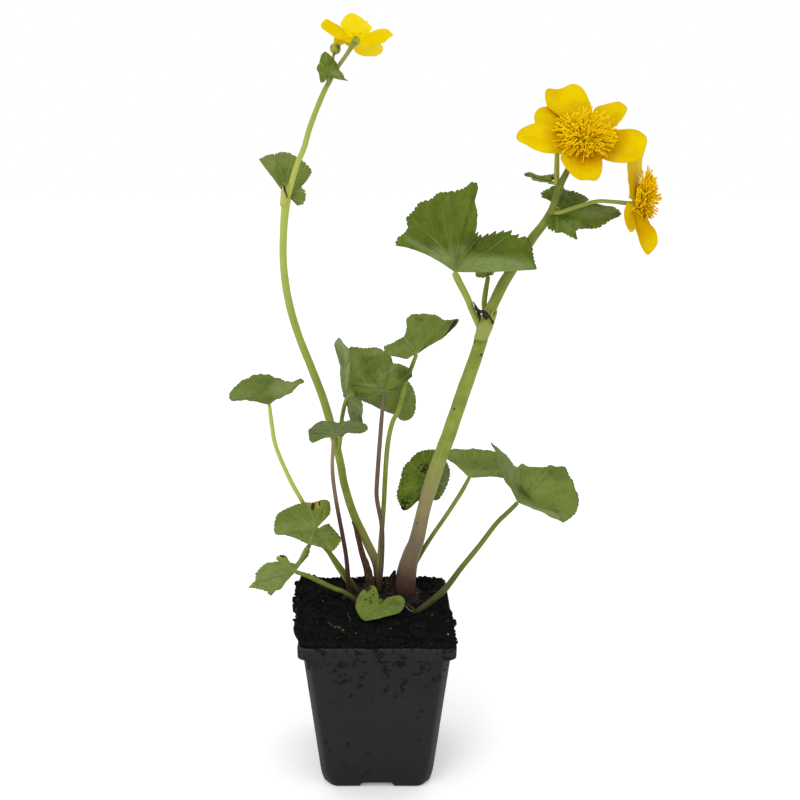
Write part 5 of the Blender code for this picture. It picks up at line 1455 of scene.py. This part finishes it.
def make_nodes(stem, dried):
    """The sheaths, bulges and withered shreds where leaves leave the stems."""
    make_sheath("right_node_sheath", [
        (55.6, -21.5, 273, 4.6), (57.6, -22, 279, 5.2), (59.4, -22, 285, 5.0), (61.0, -22, 290, 4.2)],
        200, 150, 0.25, [stem], "stem", 0.35)
    make_sheath("left_node_sheath", [
        (-54.6, 41, 341.5, 2.9), (-54.2, 41, 345, 3.2), (-53.6, 41, 350, 2.9), (-52.6, 41, 355, 2.4)],
        170, 150, 0.3, [stem], "stem", 0.9)
    shreds = bmesh.new()
    for route in (
            [(50.6, -27.4, 294.2, 0.3), (51.6, -28, 292.6, 0.4), (52.4, -28, 290.6, 0.7),
             (54.0, -28.6, 289.2, 0.8), (56.2, -28.6, 288.6, 1.0), (58.4, -28.6, 287.0, 0.7),
             (60.6, -28.2, 284.4, 0.4), (61.6, -27.4, 282.0, 0.6)],
            [(53.2, -28, 289.4, 0.5), (54.0, -28.6, 287.0, 0.8), (54.4, -28, 284.8, 0.4),
             (54.2, -27.4, 283.2, 0.25)],
            [(55.8, -28.6, 289.6, 0.5), (57.6, -29.0, 286.8, 0.9), (59.4, -28.6, 286.4, 0.3)],
            [(56.0, -28.6, 287.2, 0.6), (57.2, -28.8, 285.4, 0.4), (58.6, -28.4, 284.8, 0.2)],
            [(-54.8, 37.4, 354.2, 0.3), (-53.8, 37.2, 351.0, 0.6), (-52.4, 37.4, 346.4, 0.4)],
            [(88.2, -44.6, 354.6, 0.4), (87.0, -44.8, 356.8, 0.5), (85.6, -43.6, 357.4, 0.4)]):
        shred, _ = tube(route, 9, 26, 3, 0.25, 0.7)
        add_to(shreds, shred)
    settle("withered_shreds", shreds, [dried], "stem")


def make_dead(name, route, finish):
    """A dry stub, shrunken and furrowed."""
    bm, _ = tube(route, 24, 60, 5, 0.14, 0.4)
    settle(name + "_furrowed", bm, [finish], "dead", name)


def make_floor():
    """The plain pale floor."""
    bm = bmesh.new()
    bmesh.ops.create_grid(bm, x_segments=1, y_segments=1, size=30.0)
    mesh = bpy.data.meshes.new("floor")
    bm.to_mesh(mesh)
    bm.free()
    mesh.materials.append(pale_floor())
    floor = bpy.data.objects.new("floor", mesh)
    bpy.context.collection.objects.link(floor)


def light(name, place, target, size, power):
    """A soft square light aimed at a place."""
    lamp = bpy.data.lights.new(name, "AREA")
    lamp.size = size
    lamp.energy = power
    holder = bpy.data.objects.new(name, lamp)
    holder.location = place
    holder.rotation_euler = (Vector(target) - Vector(place)).to_track_quat("-Z", "Y").to_euler()
    bpy.context.collection.objects.link(holder)


def make_studio():
    """The camera, the soft light and the pale surroundings."""
    scene = bpy.context.scene
    view = bpy.data.cameras.new("camera")
    view.lens = LENS
    view.sensor_width = SENSOR
    view.shift_x = SHIFT
    holder = bpy.data.objects.new("camera", view)
    holder.location = (CAMERA_PLACE + POT_PLACE) * MM
    holder.rotation_euler = (math.radians(90 - LOOK_DOWN), 0.0, 0.0)
    bpy.context.collection.objects.link(holder)
    scene.camera = holder
    world = bpy.data.worlds.new("studio")
    world.use_nodes = True
    backdrop = world.node_tree.nodes["Background"]
    backdrop.inputs["Color"].default_value = (1.0, 1.0, 1.0, 1.0)
    backdrop.inputs["Strength"].default_value = 1.0
    scene.world = world
    scene.view_settings.view_transform = "Standard"
    light("key", (-0.7, -1.0, 1.4), (0.0, 0.0, 0.25), 0.8, 6.0)
    light("fill", (1.1, -0.7, 0.8), (0.0, 0.0, 0.25), 0.9, 1.0)


def main():
    """Dress the plant."""
    make_studio()
    make_floor()
    stem = living_stem()
    top = leaf_face(
        "leaf_top", shade(66, 84, 14), shade(92, 111, 28), shade(136, 150, 80), 1.0, 0.42)
    under = leaf_face(
        "leaf_underside", shade(84, 98, 46), shade(104, 118, 62), shade(134, 146, 92), -1.0, 0.55)
    yellow = petal_face()
    gold = stamen_gold()
    pods = pod_green()
    earth = compost()
    make_pot(pot_plastic())
    make_soil(earth)
    scraps = scrap()
    make_scraps(scraps)
    make_crown(
        dry_sheath("crown_bark", shade(14, 11, 10), shade(34, 26, 22)),
        dry_sheath("old_sheaths", shade(24, 17, 13), shade(66, 48, 34)), scraps)
    dead = dry_sheath("dry_stub", shade(42, 25, 18), shade(98, 66, 48))
    make_dead("dead_stub", [
        (-3, 25, 98, 2.8), (-5, 26, 110, 2.6), (-10, 28, 128, 1.7), (-14, 30, 142, 0.8),
        (-16, 31, 146, 0.4)], dead)
    make_dead("old_sheath", [
        (7.4, 24, 96, 3.4), (8.2, 24, 104, 3.3), (10.0, 24, 110.6, 2.4), (11.4, 24, 115.4, 0.9)],
        dry_sheath("dark_sheath", shade(14, 10, 9), shade(40, 30, 24)))
    for name, values in STEMS.items():
        make_stem(name, values, stem)
    make_nodes(stem, dry_sheath("dried_shreds", shade(22, 17, 9), shade(60, 47, 26)))
    make_bud("left_bud", [(-27, 45, 413, 0.9), (-26.6, 48, 420, 0.9), (-24.6, 49, 427.4, 0.9)], (3.0, 3.2), pods)
    make_bud("right_bud", [
        (88, -45, 354, 1.4), (88, -44, 361, 1.3), (88, -43, 367, 1.2), (88, -42, 372, 1.1)],
        (2.6, 3.0), pods)
    for name, leaf in LEAVES.items():
        make_leaf(name, leaf, (top, under, stem))
    for name, flower in FLOWERS.items():
        facing = flower["faces"].normalized()
        for number, petal in enumerate(flower["petals"]):
            make_petal(
                name + "_petal_" + str(number + 1), flower["joint"], petal, flower["warm"][number],
                flower["deep"][number], facing * (0.5 if number % 2 else -0.1), yellow)
        make_tuft(name, flower, gold, pods)


main()
